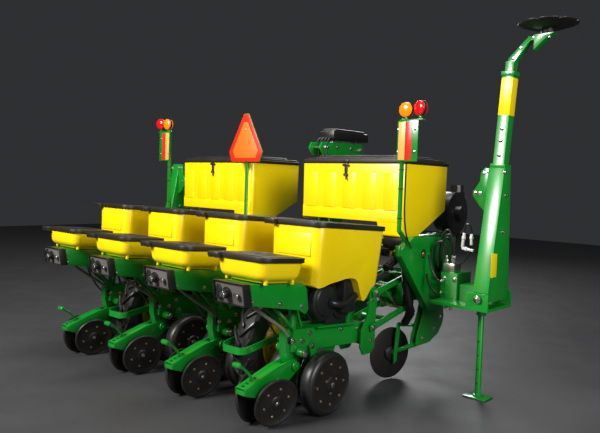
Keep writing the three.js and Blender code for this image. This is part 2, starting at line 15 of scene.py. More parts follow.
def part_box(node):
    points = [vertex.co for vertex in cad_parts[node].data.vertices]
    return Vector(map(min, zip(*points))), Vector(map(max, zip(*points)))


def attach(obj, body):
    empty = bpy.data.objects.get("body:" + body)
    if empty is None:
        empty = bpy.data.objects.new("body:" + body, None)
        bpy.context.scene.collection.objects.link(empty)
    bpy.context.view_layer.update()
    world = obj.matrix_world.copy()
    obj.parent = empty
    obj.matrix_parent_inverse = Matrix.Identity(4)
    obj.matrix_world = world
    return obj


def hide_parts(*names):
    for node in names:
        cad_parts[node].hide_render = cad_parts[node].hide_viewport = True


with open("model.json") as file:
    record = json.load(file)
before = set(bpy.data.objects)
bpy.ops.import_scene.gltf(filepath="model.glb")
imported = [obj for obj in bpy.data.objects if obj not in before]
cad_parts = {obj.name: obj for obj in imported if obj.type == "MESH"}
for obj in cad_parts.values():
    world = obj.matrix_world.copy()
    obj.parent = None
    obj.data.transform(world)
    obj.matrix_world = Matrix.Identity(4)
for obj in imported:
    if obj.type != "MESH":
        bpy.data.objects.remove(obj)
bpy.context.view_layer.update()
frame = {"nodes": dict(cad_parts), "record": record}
record = frame["record"]
joints = {j["name"]: j for j in record["behaviour"]["joints"]}

# %% [markdown]
# ## Where things are
# A planter is mostly the same row unit four times, so one unit is described once, in a working
# frame of its own: x = 0 is the row's middle, y = 0 the closing wheels' axles and z = 0 the ground.
# The parked units hang nose down by a few degrees, so the upper pieces are drawn level and turned
# about the gauge wheels' axle at the end.

# %% Read the working frame from the boxes and joints
ROWS = (1, 2, 3, 4)
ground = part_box("row1_gauge_wheels")[0][2]
stern = joints["row1_press_roll_right"]["pos_m"][1]
row_x = {n: joints[f"row{n}_gauge_roll"]["pos_m"][0] for n in ROWS}
base = Vector((0, stern, ground))
GAUGE_Y, GAUGE_Z = 0.385, 0.205
UNIT_TILT = math.radians(-4)


def level_place(x):
    """The working frame of a row whose middle is at x."""
    return Matrix.Translation(base + Vector((x, 0, 0)))


def unit_place(x):
    """The same, with the unit's nose-down tilt about the gauge axle."""
    axle = Vector((0, GAUGE_Y, GAUGE_Z))
    tilt = Matrix.Translation(axle) @ Matrix.Rotation(UNIT_TILT, 4, "X") @ Matrix.Translation(-axle)
    return level_place(x) @ tilt


print("rows at", row_x, "ground", round(ground, 3))

# %% [markdown]
# ## The camera, floor and lights
# The camera stands behind the right-hand end, a little above the seed hoppers, and looks forward
# and to the left. Big soft area lights in a dim studio with a dark floor show the paint's gloss, and
# keep the black plastics black.

# %% Camera
def camera_matrix(place, azimuth, pitch, roll):
    """A camera that looks along azimuth (0 is +Y, turning left), pitched down and rolled."""
    ahead = Vector((-math.sin(azimuth) * math.cos(pitch), math.cos(azimuth) * math.cos(pitch),
                    -math.sin(pitch)))
    right = Vector((math.cos(azimuth), math.sin(azimuth), 0))
    down = ahead.cross(right)
    c, s = math.cos(roll), math.sin(roll)
    x_axis, y_axis = c * right + s * down, s * right - c * down
    m = Matrix((x_axis, y_axis, -ahead)).transposed().to_4x4()
    m.translation = place
    return m


CAMERA_PLACE = Vector((3.751, -2.697, 1.473))
CAMERA_AZIMUTH, CAMERA_PITCH, CAMERA_ROLL = (math.radians(a) for a in (42.447, 3.076, -1.892))
LENS = 38.3
camera_data = bpy.data.cameras.new("camera")
camera_data.sensor_fit = "HORIZONTAL"
camera_data.sensor_width = 36.0
camera_data.lens = LENS
camera = bpy.data.objects.new("camera", camera_data)
camera.matrix_world = camera_matrix(base + CAMERA_PLACE, CAMERA_AZIMUTH, CAMERA_PITCH, CAMERA_ROLL)
bpy.context.collection.objects.link(camera)
bpy.context.scene.camera = camera


# %% Lights and floor
def soft_light(name, place, aim, size, power, tint=(1, 1, 1)):
    lamp = bpy.data.lights.new(name, "AREA")
    lamp.shape, lamp.size, lamp.energy, lamp.color = "DISK", size, power, tint
    o = bpy.data.objects.new(name, lamp)
    o.location = Vector(place)
    o.rotation_euler = (Vector(aim) - Vector(place)).to_track_quat("-Z", "Y").to_euler()
    bpy.context.collection.objects.link(o)


soft_light("key", (-1.0, -7.5, 4.2), (0, -0.9, 0), 2.6, 900, (1, 0.98, 0.95))
soft_light("fill", (6.5, -3.0, 2.6), (0, -0.9, 0.2), 3.2, 300, (0.97, 0.98, 1))
soft_light("top", (0.5, -0.6, 6.5), (0, -0.8, 0), 4.0, 300)
soft_light("front", (-3.5, 5.5, 4.0), (0, 0, 0.5), 3.5, 260)
world = bpy.data.worlds.new("studio")
world.use_nodes = True
world.node_tree.nodes["Background"].inputs["Color"].default_value = (0.20, 0.21, 0.23, 1)
world.node_tree.nodes["Background"].inputs["Strength"].default_value = 0.14
bpy.context.scene.world = world
bpy.context.scene.view_settings.view_transform = "Standard"

floor_bm = bmesh.new()
bmesh.ops.create_grid(floor_bm, x_segments=1, y_segments=1, size=14)
bmesh.ops.translate(floor_bm, verts=floor_bm.verts, vec=(0, 0, ground - 0.001))
floor_mesh = bpy.data.meshes.new("floor")
floor_bm.to_mesh(floor_mesh)
floor_bm.free()
floor = bpy.data.objects.new("floor", floor_mesh)
bpy.context.collection.objects.link(floor)

# %% [markdown]
# ## Finishes
# Paint, moulded plastic, rubber and bare metal differ in gloss and in what wears them, so each
# finish is a Principled shader whose colour, roughness and bump are broken up by noise at the
# scale of the real surface: orange peel and road dust on paint, a fine grain on plastic, a chalky
# bloom on rubber, and rolling marks on steel.

# %% The finish maker
def finish(name, colour, rough, *, metal=0.0, coat=0.0, dust=0.0, grain=60.0, bump=0.05, shift=0.12,
           clear=0.0, glow=0.0):
    """A procedural material: two shades of its colour, mottled roughness, dust and a fine bump."""
    mat = bpy.data.materials.new(name)
    mat.use_nodes = True
    nt = mat.node_tree
    shader = nt.nodes["Principled BSDF"]
    shader.inputs["Metallic"].default_value = metal
    shader.inputs["Coat Weight"].default_value = coat
    shader.inputs["Coat Roughness"].default_value = 0.12
    shader.inputs["Transmission Weight"].default_value = clear
    if glow:
        shader.inputs["Emission Color"].default_value = (*colour, 1)
        shader.inputs["Emission Strength"].default_value = glow
    where = nt.nodes.new("ShaderNodeTexCoord")
    broad = nt.nodes.new("ShaderNodeTexNoise")
    broad.inputs["Scale"].default_value = 3.5
    broad.inputs["Detail"].default_value = 4
    fine = nt.nodes.new("ShaderNodeTexNoise")
    fine.inputs["Scale"].default_value = grain
    fine.inputs["Detail"].default_value = 3
    for texture in (broad, fine):
        nt.links.new(where.outputs["Object"], texture.inputs["Vector"])
    shades = nt.nodes.new("ShaderNodeValToRGB")
    shades.color_ramp.elements[0].position, shades.color_ramp.elements[1].position = 0.3, 0.7
    shades.color_ramp.elements[0].color = (*[c * (1 - shift) for c in colour], 1)
    shades.color_ramp.elements[1].color = (*[min(1, c * (1 + shift)) for c in colour], 1)
    nt.links.new(broad.outputs["Fac"], shades.inputs["Fac"])
    speck = nt.nodes.new("ShaderNodeMapRange")
    speck.inputs["From Min"].default_value, speck.inputs["From Max"].default_value = 0.48, 0.75
    speck.inputs["To Max"].default_value = dust
    nt.links.new(fine.outputs["Fac"], speck.inputs["Value"])
    dusty = nt.nodes.new("ShaderNodeMix")
    dusty.data_type = "RGBA"
    dusty.inputs["B"].default_value = (0.42, 0.38, 0.31, 1)
    nt.links.new(speck.outputs["Result"], dusty.inputs["Factor"])
    nt.links.new(shades.outputs["Color"], dusty.inputs["A"])
    nt.links.new(dusty.outputs["Result"], shader.inputs["Base Color"])
    mottle = nt.nodes.new("ShaderNodeMapRange")
    mottle.inputs["To Min"].default_value, mottle.inputs["To Max"].default_value = rough * 0.8, min(1,
        rough * 1.3)
    nt.links.new(broad.outputs["Fac"], mottle.inputs["Value"])
    nt.links.new(mottle.outputs["Result"], shader.inputs["Roughness"])
    relief = nt.nodes.new("ShaderNodeBump")
    relief.inputs["Strength"].default_value = bump
    relief.inputs["Distance"].default_value = 0.002
    nt.links.new(fine.outputs["Fac"], relief.inputs["Height"])
    nt.links.new(relief.outputs["Normal"], shader.inputs["Normal"])
    return mat


GREEN = finish("green_paint", (0.001, 0.225, 0.016), 0.28, coat=0.4, dust=0.02, grain=90, bump=0.04)
YELLOW = finish("yellow_plastic", (0.92, 0.66, 0.0), 0.30, coat=0.25, grain=140, bump=0.02, shift=0.03)
YELLOW_PAINT = finish("yellow_paint", (0.90, 0.58, 0.0), 0.3, coat=0.5, dust=0.02, grain=80)
LID = finish("lid_plastic", (0.013, 0.010, 0.009), 0.42, dust=0.015, grain=160, bump=0.05)
BLACK = finish("black_plastic", (0.009, 0.009, 0.009), 0.36, dust=0.02, grain=110, bump=0.05)
GREY = finish("grey_panel", (0.115, 0.105, 0.10), 0.42, dust=0.03, grain=120, bump=0.05)
RUBBER = finish("wheel_rubber", (0.010, 0.010, 0.010), 0.36, dust=0.02, grain=70, bump=0.05)
TYRE = finish("tyre_rubber", (0.010, 0.009, 0.009), 0.33, dust=0.03, grain=45, bump=0.08)
DISC = finish("disc_steel", (0.013, 0.011, 0.010), 0.42, metal=0.2, dust=0.03, grain=60, bump=0.05)
STEEL = finish("bare_steel", (0.62, 0.60, 0.56), 0.26, metal=1.0, dust=0.04, grain=200, bump=0.06)
ZINC = finish("zinc_yellow", (0.62, 0.47, 0.20), 0.30, metal=0.9, dust=0.05, grain=180, bump=0.06)
HOSE = finish("clear_hose", (0.17, 0.155, 0.115), 0.3, dust=0.04, grain=60, bump=0.05)
AMBER = finish("amber_lens", (0.95, 0.22, 0.0), 0.16, coat=0.8, grain=220, bump=0.4, glow=0.30)
RED = finish("red_lens", (0.62, 0.004, 0.004), 0.16, coat=0.8, grain=220, bump=0.4, glow=0.12)
CREAM = finish("peach_tape", (0.92, 0.42, 0.10), 0.3, grain=260, bump=0.2, shift=0.05)
RED_TAPE = finish("red_tape", (0.70, 0.025, 0.008), 0.3, grain=260, bump=0.2, shift=0.06)
# The orange tape is given a painted glow: a little light of its own, though it is no lamp.
ORANGE_PAINTED_GLOW = finish("orange_tape", (0.98, 0.16, 0.015), 0.34, grain=260, bump=0.2, shift=0.04, glow=0.12)
TAPE = finish("yellow_tape", (0.90, 0.66, 0.0), 0.3, grain=260, bump=0.2, shift=0.04)
WHITE = finish("white_fitting", (0.70, 0.70, 0.67), 0.3, grain=180, bump=0.05)
FLOOR = finish("floor", (0.035, 0.035, 0.037), 0.55, grain=30, bump=0.02, shift=0.02)
floor.data.materials.append(FLOOR)

# %% [markdown]
# ## Tools for making pieces
# A piece is a bmesh with several finishes. Each helper adds one shape with the operators that a fabricator's
# own steps suggest: cut a plate from its outline, turn a wheel on a lathe, bend a hose along its run. Edges
# are broken with a small bevel, because a real edge always catches light.

# %% Pieces
RENDER_SMOOTH = math.radians(32)


class Piece:
    """Shapes that will be one object, with the finish of each."""

    def __init__(self):
        self.bm = bmesh.new()
        self.finishes = []

    def take(self, other, look):
        """Moves a small bmesh into the piece, faces outward, in one finish."""
        if look not in self.finishes:
            self.finishes.append(look)
        bmesh.ops.recalc_face_normals(other, faces=other.faces)
        for face in other.faces:
            face.material_index = self.finishes.index(look)
            face.smooth = True
        scratch = bpy.data.meshes.new("scratch")
        other.to_mesh(scratch)
        other.free()
        self.bm.from_mesh(scratch)
        bpy.data.meshes.remove(scratch)

    def place(self, name, body, where=None, slot=None, replaces=()):
        """Makes the object, in place, riding on its body."""
        mesh = bpy.data.meshes.new(name)
        self.bm.to_mesh(mesh)
        if where is not None:
            mesh.transform(where)
        for look in self.finishes:
            mesh.materials.append(look)
        mesh.set_sharp_from_angle(angle=RENDER_SMOOTH)
        o = bpy.data.objects.new(name, mesh)
        bpy.context.collection.objects.link(o)
        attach(o, body)
        if replaces:
            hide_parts(*replaces)
        return o


def break_edges(bm, width, sharp=30, segments=2):
    """Bevels every edge that turns by more than sharp degrees."""
    edges = [e for e in bm.edges if e.is_manifold and e.calc_face_angle(0) > math.radians(sharp)]
    if width and edges:
        bmesh.ops.bevel(bm, geom=edges, offset=width, segments=segments, affect="EDGES", profile=0.5,
                        material=-1, clamp_overlap=True)


def block(piece, low, high, look, edge=0.002):
    low, high = Vector(low), Vector(high)
    bm = bmesh.new()
    bmesh.ops.create_cube(bm, size=1)
    bmesh.ops.scale(bm, verts=bm.verts, vec=high - low)
    bmesh.ops.translate(bm, verts=bm.verts, vec=(low + high) / 2)
    break_edges(bm, edge)
    piece.take(bm, look)


def along(a, b):
    """The turn and move that takes the Z axis's middle to the stretch from a to b."""
    a, b = Vector(a), Vector(b)
    return Matrix.Translation((a + b) / 2) @ (b - a).to_track_quat("Z", "Y").to_matrix().to_4x4()


def bar(piece, a, b, r, look, sides=20, edge=0.0015, r2=None):
    bm = bmesh.new()
    length = (Vector(b) - Vector(a)).length
    bmesh.ops.create_cone(bm, cap_ends=True, segments=sides, radius1=r, radius2=r if r2 is None else r2,
                          depth=length)
    break_edges(bm, min(edge, r * 0.2), 60)
    bmesh.ops.transform(bm, matrix=along(a, b), verts=bm.verts)
    piece.take(bm, look)


def bolt(piece, place, out, r=0.011, look=STEEL, stand=0.009):
    """A washer and a hexagon head on a face, pointing out."""
    place, out = Vector(place), Vector(out).normalized()
    bar(piece, place - out * 0.001, place + out * 0.002, r * 1.45, look, 14, 0.0006)
    bar(piece, place, place + out * stand, r, look, 6, 0.0012)


def slab(piece, where, size, look, edge=0.002):
    """A block of a size, centred on a matrix."""
    bm = bmesh.new()
    bmesh.ops.create_cube(bm, size=1)
    bmesh.ops.scale(bm, verts=bm.verts, vec=size)
    break_edges(bm, edge)
    bmesh.ops.transform(bm, matrix=where, verts=bm.verts)
    piece.take(bm, look)


def plate(piece, outline, axis, low, high, look, edge=0.002):
    """A flat outline pushed along X ([y, z] points) or along Y ([x, z] points)."""
    bm = bmesh.new()
    point = (lambda u, v: (low, u, v)) if axis == "X" else (lambda u, v: (u, low, v))
    face = bm.faces.new([bm.verts.new(point(u, v)) for u, v in outline])
    grown = bmesh.ops.extrude_face_region(bm, geom=[face])
    step = Vector((high - low, 0, 0)) if axis == "X" else Vector((0, high - low, 0))
    bmesh.ops.translate(bm, verts=[v for v in grown["geom"] if isinstance(v, bmesh.types.BMVert)], vec=step)
    bmesh.ops.recalc_face_normals(bm, faces=bm.faces)
    break_edges(bm, edge)
    piece.take(bm, look)


def turned(piece, profile, look, where=Matrix(), steps=48):
    """A lathe profile of (radius, x) points spun about the X axis, closed on the axle."""
    bm = bmesh.new()
    verts = [bm.verts.new((x, 0, r)) for r, x in profile]
    edges = [bm.edges.new(pair) for pair in zip(verts, verts[1:])]
    bmesh.ops.spin(bm, geom=verts + edges, cent=(0, 0, 0), axis=(1, 0, 0), angle=math.tau, steps=steps,
                   use_merge=True)
    bmesh.ops.remove_doubles(bm, verts=bm.verts, dist=1e-5)
    bmesh.ops.transform(bm, matrix=where, verts=bm.verts)
    piece.take(bm, look)


def tub(piece, low, high, corner, look, taper=0.0, rim=0.006, steps=10, belly=0.0):
    """A moulded box: big vertical corners, sides that lean in towards the bottom, soft edges."""
    low, high = Vector(low), Vector(high)
    bm = bmesh.new()
    bmesh.ops.create_cube(bm, size=1)
    size = high - low
    bmesh.ops.scale(bm, verts=bm.verts, vec=size)
    upright = [e for e in bm.edges if abs(e.verts[0].co.z - e.verts[1].co.z) > size.z / 2]
    bmesh.ops.bevel(bm, geom=upright, offset=corner, segments=steps, affect="EDGES", profile=0.5, material=-1)
    bottom = [v for v in bm.verts if v.co.z < 0]
    bmesh.ops.scale(bm, verts=bottom, vec=(1 - 2 * taper / size.x, 1 - 2 * taper / size.y, 1))
    if belly:
        under = [e for e in bm.edges if max(v.co.z for v in e.verts) < 0 and e.calc_face_angle(0) > 0.8]
        bmesh.ops.bevel(bm, geom=under, offset=belly, segments=6, affect="EDGES", profile=0.5, material=-1)
    break_edges(bm, rim, 45, 3)
    bmesh.ops.translate(bm, verts=bm.verts, vec=(low + high) / 2)
    if look is None:
        return bm
    piece.take(bm, look)


def shared_volume(bm, other):
    """The part that two closed shapes share, as a new bmesh."""
    made = []
    for name, shape in (("tool_a", bm), ("tool_b", other)):
        mesh = bpy.data.meshes.new(name)
        bmesh.ops.recalc_face_normals(shape, faces=shape.faces)
        shape.to_mesh(mesh)
        shape.free()
        o = bpy.data.objects.new(name, mesh)
        bpy.context.collection.objects.link(o)
        made.append(o)
    cut = made[0].modifiers.new("cut", "BOOLEAN")
    cut.operation, cut.solver, cut.object = "INTERSECT", "EXACT", made[1]
    bpy.context.view_layer.update()
    solid = made[0].evaluated_get(bpy.context.evaluated_depsgraph_get())
    result = bmesh.new()
    result.from_mesh(solid.to_mesh())
    solid.to_mesh_clear()
    for o in made:
        mesh = o.data
        bpy.data.objects.remove(o)
        bpy.data.meshes.remove(mesh)
    bmesh.ops.remove_doubles(result, verts=result.verts, dist=1e-5)
    return result


def hose(piece, points, r, look, rings=0, sides=3):
    """A round hose on a smooth run through its points; rings makes it a corrugated one."""
    curve = bpy.data.curves.new("run", "CURVE")
    curve.dimensions, curve.bevel_depth, curve.bevel_resolution, curve.use_fill_caps = "3D", r, sides, True
    curve.resolution_u = 8
    spline = curve.splines.new("NURBS")
    spline.points.add(len(points) - 1)
    for i, p in enumerate(points):
        spline.points[i].co = (*p, 1)
    spline.order_u, spline.use_endpoint_u = min(4, len(points)), True
    o = bpy.data.objects.new("run", curve)
    mesh = bpy.data.meshes.new_from_object(o)
    bm = bmesh.new()
    bm.from_mesh(mesh)
    bmesh.ops.remove_doubles(bm, verts=bm.verts, dist=1e-5)
    piece.take(bm, look)
    bpy.data.objects.remove(o)
    bpy.data.meshes.remove(mesh)
    if rings:
        run = [Vector(p) for p in points]
        for a, b in zip(run, run[1:]):
            n = max(1, int((b - a).length / rings))
            for k in range(n):
                c = a.lerp(b, (k + 0.5) / n)
                d = (b - a).normalized() * rings * 0.22
                bar(piece, c - d, c + d, r * 1.18, look, 10, 0)


def coil(piece, a, b, r, wire, turns, look):
    """A compression spring between two points."""
    a, b = Vector(a), Vector(b)
    across = along(a, b).to_3x3()
    steps = turns * 10
    points = []
    for i in range(steps + 1):
        angle = math.tau * turns * i / steps
        points.append(a.lerp(b, i / steps) + across @ Vector((r * math.cos(angle), r * math.sin(angle), 0)))
    hose(piece, points, wire, look, sides=1)


def from_frame(piece, node, look, edge=0.002, sharp=25):
    """A copy of a CAD solid with its flats merged and every edge broken."""
    bm = bmesh.new()
    bm.from_mesh(frame["nodes"][node].data)
    bmesh.ops.remove_doubles(bm, verts=bm.verts, dist=2e-5)
    bmesh.ops.dissolve_limit(bm, angle_limit=math.radians(0.6), verts=bm.verts, edges=bm.edges)
    break_edges(bm, edge, sharp)
    piece.take(bm, look)


def join(piece, other, where):
    """Adds a piece drawn in the working frame to one that is already in place."""
    other.bm.transform(where)
    scratch = bpy.data.meshes.new("scratch")
    other.bm.to_mesh(scratch)
    known = len(piece.bm.faces)
    piece.bm.from_mesh(scratch)
    piece.bm.faces.ensure_lookup_table()
    for face in piece.bm.faces[known:]:
        look = other.finishes[face.material_index]
        if look not in piece.finishes:
            piece.finishes.append(look)
        face.material_index = piece.finishes.index(look)
    bpy.data.meshes.remove(scratch)


print("tools ready")

# %% [markdown]
# ## The row unit's frame
# The shank casting, channel and link cheeks are one weldment that every other piece of the unit bolts to. The
# frame's solid already has the right outline, so a copy gets broken edges, and the hardware that holds the
# unit together is added: through bolts on the channel's side plates, nuts on the cheeks and the cast boss
# under the channel.

# %% Unit frame
def unit_hardware(piece):
    for s in (-1, 1):
        face = s * 0.1275
        for y, z, r in ((0.123, 0.702, 0.010), (-0.067, 0.726, 0.010), (-0.292, 0.745, 0.005)):
            bolt(piece, (face, y, z), (s, 0, 0), r)
        for y, z in ((0.885, 0.700), (0.905, 0.420)):
            bolt(piece, (s * 0.101, y, z), (s, 0, 0), 0.010)
        bar(piece, (s * 0.03, 0.205, 0.405), (s * 0.112, 0.205, 0.405), 0.027, GREEN, 28, 0.004)
        bar(piece, (s * 0.11, 0.205, 0.405), (s * 0.124, 0.205, 0.405), 0.015, STEEL, 20)
        bolt(piece, (s * 0.116, 0.205, 0.405), (s, 0, 0), 0.017, STEEL, 0.012)
        for y, z in ((0.148, 0.475), (0.300, 0.515), (0.235, 0.470)):
            bolt(piece, (s * 0.055, y, z), (s, 0, 0), 0.012, STEEL, 0.016)
        for y, z in ((0.62, 0.515), (0.80, 0.505), (0.835, 0.435)):
            bolt(piece, (s * 0.058, y, z), (s, 0, 0), 0.011)


def unit_frame(n):
    piece = Piece()
    from_frame(piece, f"row{n}_frame", GREEN, 0.0025)
    hardware = Piece()
    unit_hardware(hardware)
    join(piece, hardware, unit_place(row_x[n]))
    return piece.place(f"row{n}_unit_frame", f"row{n}_unit", slot="green_paint", replaces=[f"row{n}_frame"])


for n in ROWS:
    unit_frame(n)
print("unit frames")

# %% [markdown]
# ## Seed hopper and its lid
# The hopper is a rotationally moulded bin: big soft corners, sides that lean in, and an underside
# that arches over the meter down to a narrow foot ahead of it. A box shares its volume with that side
# profile, which keeps the corners round. It is drawn closed, so an opened lid shows a flat top and
# not the inside. The lid is a black moulding with a raised middle and a latch at its rear corner.

# %% Seed hopper
def seed_hopper(n):
    """A soft-cornered bin whose underside is arched over the meter, with a leg in front of it."""
    piece = Piece()
    bin_bm = tub(piece, (-0.2178, 0.1335, 0.700), (0.2178, 0.8378, 1.1905), 0.075, None, 0.022, 0.004)
    side = [(0.10, 1.25), (0.86, 1.25), (0.838, 1.19), (0.775, 0.850), (0.760, 0.825), (0.728, 0.808),
            (0.678, 0.735),
            (0.660, 0.722), (0.642, 0.724), (0.630, 0.738), (0.568, 0.850), (0.545, 0.868), (0.500, 0.877),
            (0.440, 0.874),
            (0.370, 0.860), (0.290, 0.846), (0.235, 0.828), (0.190, 0.818), (0.160, 0.830), (0.145, 0.860),
            (0.10, 0.95)]
    profile = bmesh.new()
    face = profile.faces.new([profile.verts.new((-0.3, y, z)) for y, z in side])
    grown = bmesh.ops.extrude_face_region(profile, geom=[face])
    bmesh.ops.translate(profile, verts=[v for v in grown["geom"] if isinstance(v, bmesh.types.BMVert)],
                        vec=(0.6, 0, 0))
    body = shared_volume(bin_bm, profile)
    lower = [e for e in body.edges if e.is_manifold and e.calc_face_angle(0) > math.radians(50)
             and max(v.co.z for v in e.verts) < 1.0]
    bmesh.ops.bevel(body, geom=lower, offset=0.005, segments=2, affect="EDGES", profile=0.5, material=-1,
                    clamp_overlap=True)
    piece.take(body, YELLOW)
    block(piece, (-0.150, 0.1340, 1.010), (0.150, 0.1420, 1.150), YELLOW, 0.003)
    return piece.place(f"row{n}_seed_bin", f"row{n}_unit", unit_place(row_x[n]), "yellow_plastic",
                       [f"row{n}_seed_hopper"])


def latch(piece, x, y, z):
    """A moulded hook with a cross pin, at the rear left corner of a lid."""
    block(piece, (x - 0.040, y, z + 0.004), (x + 0.052, y + 0.062, z + 0.030), LID, 0.005)
    block(piece, (x - 0.036, y + 0.004, z - 0.006), (x - 0.010, y + 0.040, z + 0.010), LID, 0.003)
    block(piece, (x + 0.020, y + 0.004, z - 0.006), (x + 0.048, y + 0.040, z + 0.010), LID, 0.003)
    bar(piece, (x - 0.03, y + 0.014, z + 0.004), (x + 0.046, y + 0.014, z + 0.004), 0.006, GREY, 16)


def seed_lid(n):
    piece = Piece()
    tub(piece, (-0.2278, 0.1215, 1.1912), (0.2278, 0.8488, 1.2235), 0.080, LID, 0, 0.0035)
    tub(piece, (-0.190, 0.160, 1.222), (0.190, 0.810, 1.2262), 0.06, LID, -0.006, 0.002)
    for y in (0.28, 0.42, 0.56, 0.70):
        block(piece, (-0.13, y - 0.010, 1.2255), (0.13, y + 0.010, 1.2272), LID, 0.001)
    bar(piece, (-0.05, 0.485, 1.2255), (-0.05, 0.485, 1.229), 0.022, LID, 24, 0.001)
    latch(piece, -0.188, 0.090, 1.1925)
    return piece.place(f"row{n}_seed_cap", f"row{n}_seed_cover", unit_place(row_x[n]), "lid_plastic",
                       [f"row{n}_seed_lid"])


for n in ROWS:
    seed_hopper(n)
    seed_lid(n)
print("seed hoppers")

# %% [markdown]
# ## Granule hopper and its lid
# The small bin at the stern feeds insecticide granules to the furrow. It is the same moulding
# practice at a smaller size: a shallow tub with a rounded belly on four short feet, closed as well.

# %% Granule hopper
def granular_hopper(n):
    piece = Piece()
    tub(piece, (-0.2115, -0.3085, 0.866), (0.2115, 0.0435, 0.9742), 0.064, YELLOW, 0.018, 0.004, belly=0.040)
    tub(piece, (-0.150, -0.250, 0.852), (0.150, -0.010, 0.875), 0.04, YELLOW, 0.006, 0.004)
    for x in (-0.16, 0.165):
        for y in (-0.24, -0.02):
            bar(piece, (x, y, 0.846), (x, y, 0.880), 0.012, YELLOW, 16)
    return piece.place(f"row{n}_granule_bin", f"row{n}_unit", unit_place(row_x[n]), "yellow_plastic",
                       [f"row{n}_granular_hopper"])


def granular_lid(n):
    piece = Piece()
    tub(piece, (-0.2238, -0.3208, 0.9752), (0.2238, 0.0558, 1.0050), 0.074, LID, 0, 0.0035)
    tub(piece, (-0.186, -0.282, 1.0035), (0.186, 0.018, 1.0078), 0.05, LID, -0.005, 0.002)
    for y in (-0.20, -0.13, -0.06):
        block(piece, (-0.12, y - 0.009, 1.007), (0.12, y + 0.009, 1.0088), LID, 0.001)
    bar(piece, (-0.03, -0.132, 1.007), (-0.03, -0.132, 1.011), 0.020, LID, 24, 0.001)
    latch(piece, -0.188, -0.352, 0.9735)
    return piece.place(f"row{n}_granule_cap", f"row{n}_granular_cover", unit_place(row_x[n]), "lid_plastic",
                       [f"row{n}_granular_lid"])


for n in ROWS:
    granular_hopper(n)
    granular_lid(n)
print("granule hoppers")

# %% [markdown]
# ## The granule meter's end panel
# The rear of the channel is closed by a dark panel that carries the meter's setting knob on the left
# and a bright lock knob on the right. A brown-grey hose leads the granules down from its underside
# to the closing head, and a thinner black one follows it.

# %% End panel and granule hoses
def end_panel(n):
    piece = Piece()
    plate(piece, [(-0.382, 0.848), (-0.322, 0.848), (-0.290, 0.722), (-0.350, 0.718)], "X", -0.129, -0.123,
          BLACK, 0.002)
    plate(piece, [(-0.382, 0.848), (-0.322, 0.848), (-0.290, 0.722), (-0.350, 0.718)], "X", 0.123, 0.129,
          BLACK, 0.002)
    plate(piece, [(-0.382, 0.848), (-0.322, 0.848), (-0.322, 0.842), (-0.380, 0.842)], "X", -0.125, 0.125,
          BLACK, 0.001)
    plate(piece, [(-0.352, 0.724), (-0.290, 0.728), (-0.290, 0.722), (-0.350, 0.718)], "X", -0.125, 0.125,
          BLACK, 0.001)
    plate(piece, [(-0.366, 0.843), (-0.322, 0.843), (-0.292, 0.724), (-0.336, 0.722)], "X", -0.124, 0.124,
          GREY, 0.002)
    out = Vector((0, -0.97, -0.24))

    def on_panel(x, t):
        return Vector((x, -0.366 + 0.030 * t, 0.843 - 0.12 * t))

    a = on_panel(-0.022, 0.50)
    bar(piece, a, a + out * 0.008, 0.036, BLACK, 28, 0.002)
    bar(piece, a + out * 0.006, a + out * 0.040, 0.026, BLACK, 24, 0.004)
    bar(piece, a + out * 0.038, a + out * 0.044, 0.021, STEEL, 24, 0.002)
    block(piece, a + out * 0.03 + Vector((-0.004, -0.014, -0.026)),
          a + out * 0.03 + Vector((0.004, 0.0, 0.026)), BLACK, 0.002)
    b = on_panel(0.068, 0.52)
    bar(piece, b, b + out * 0.014, 0.011, STEEL, 16)
    bar(piece, b + out * 0.012, b + out * 0.024, 0.019, STEEL, 24, 0.004)
    block(piece, on_panel(-0.112, 0.85) + Vector((0, -0.008, 0)), on_panel(-0.068, 0.12), BLACK, 0.004)
    return piece.place(f"row{n}_granule_meter", f"row{n}_unit", unit_place(row_x[n]), "lid_plastic")


def granule_hoses(n):
    piece = Piece()
    hose(piece, [(-0.025, -0.150, 0.790), (-0.022, -0.135, 0.745), (-0.010, -0.06, 0.690),
                 (0.0, 0.021, 0.632),
                 (0.015, 0.11, 0.575), (0.022, 0.155, 0.525), (0.025, 0.165, 0.48)], 0.0115, HOSE)
    hose(piece, [(-0.05, -0.02, 0.80), (-0.05, 0.02, 0.66), (-0.06, 0.09, 0.55), (-0.055, 0.15, 0.50)],
         0.007, BLACK)
    bar(piece, (0.022, 0.157, 0.515), (0.025, 0.167, 0.470), 0.016, BLACK, 20, 0.003)
    return piece.place(f"row{n}_granule_hose", f"row{n}_unit", level_place(row_x[n]), "lid_plastic")


for n in ROWS:
    end_panel(n)
    granule_hoses(n)
print("granule meters")

# %% [markdown]
# ## Seed meter and its vacuum dome
# Under each seed hopper sits the meter, a drum with a domed cover that the fan holds at a slight
# vacuum. It is turned on the lathe, with spokes, a bolted rim and a clamped air hose at its middle.

# %% Seed meter
METER_Y, METER_Z = 0.385, 0.722


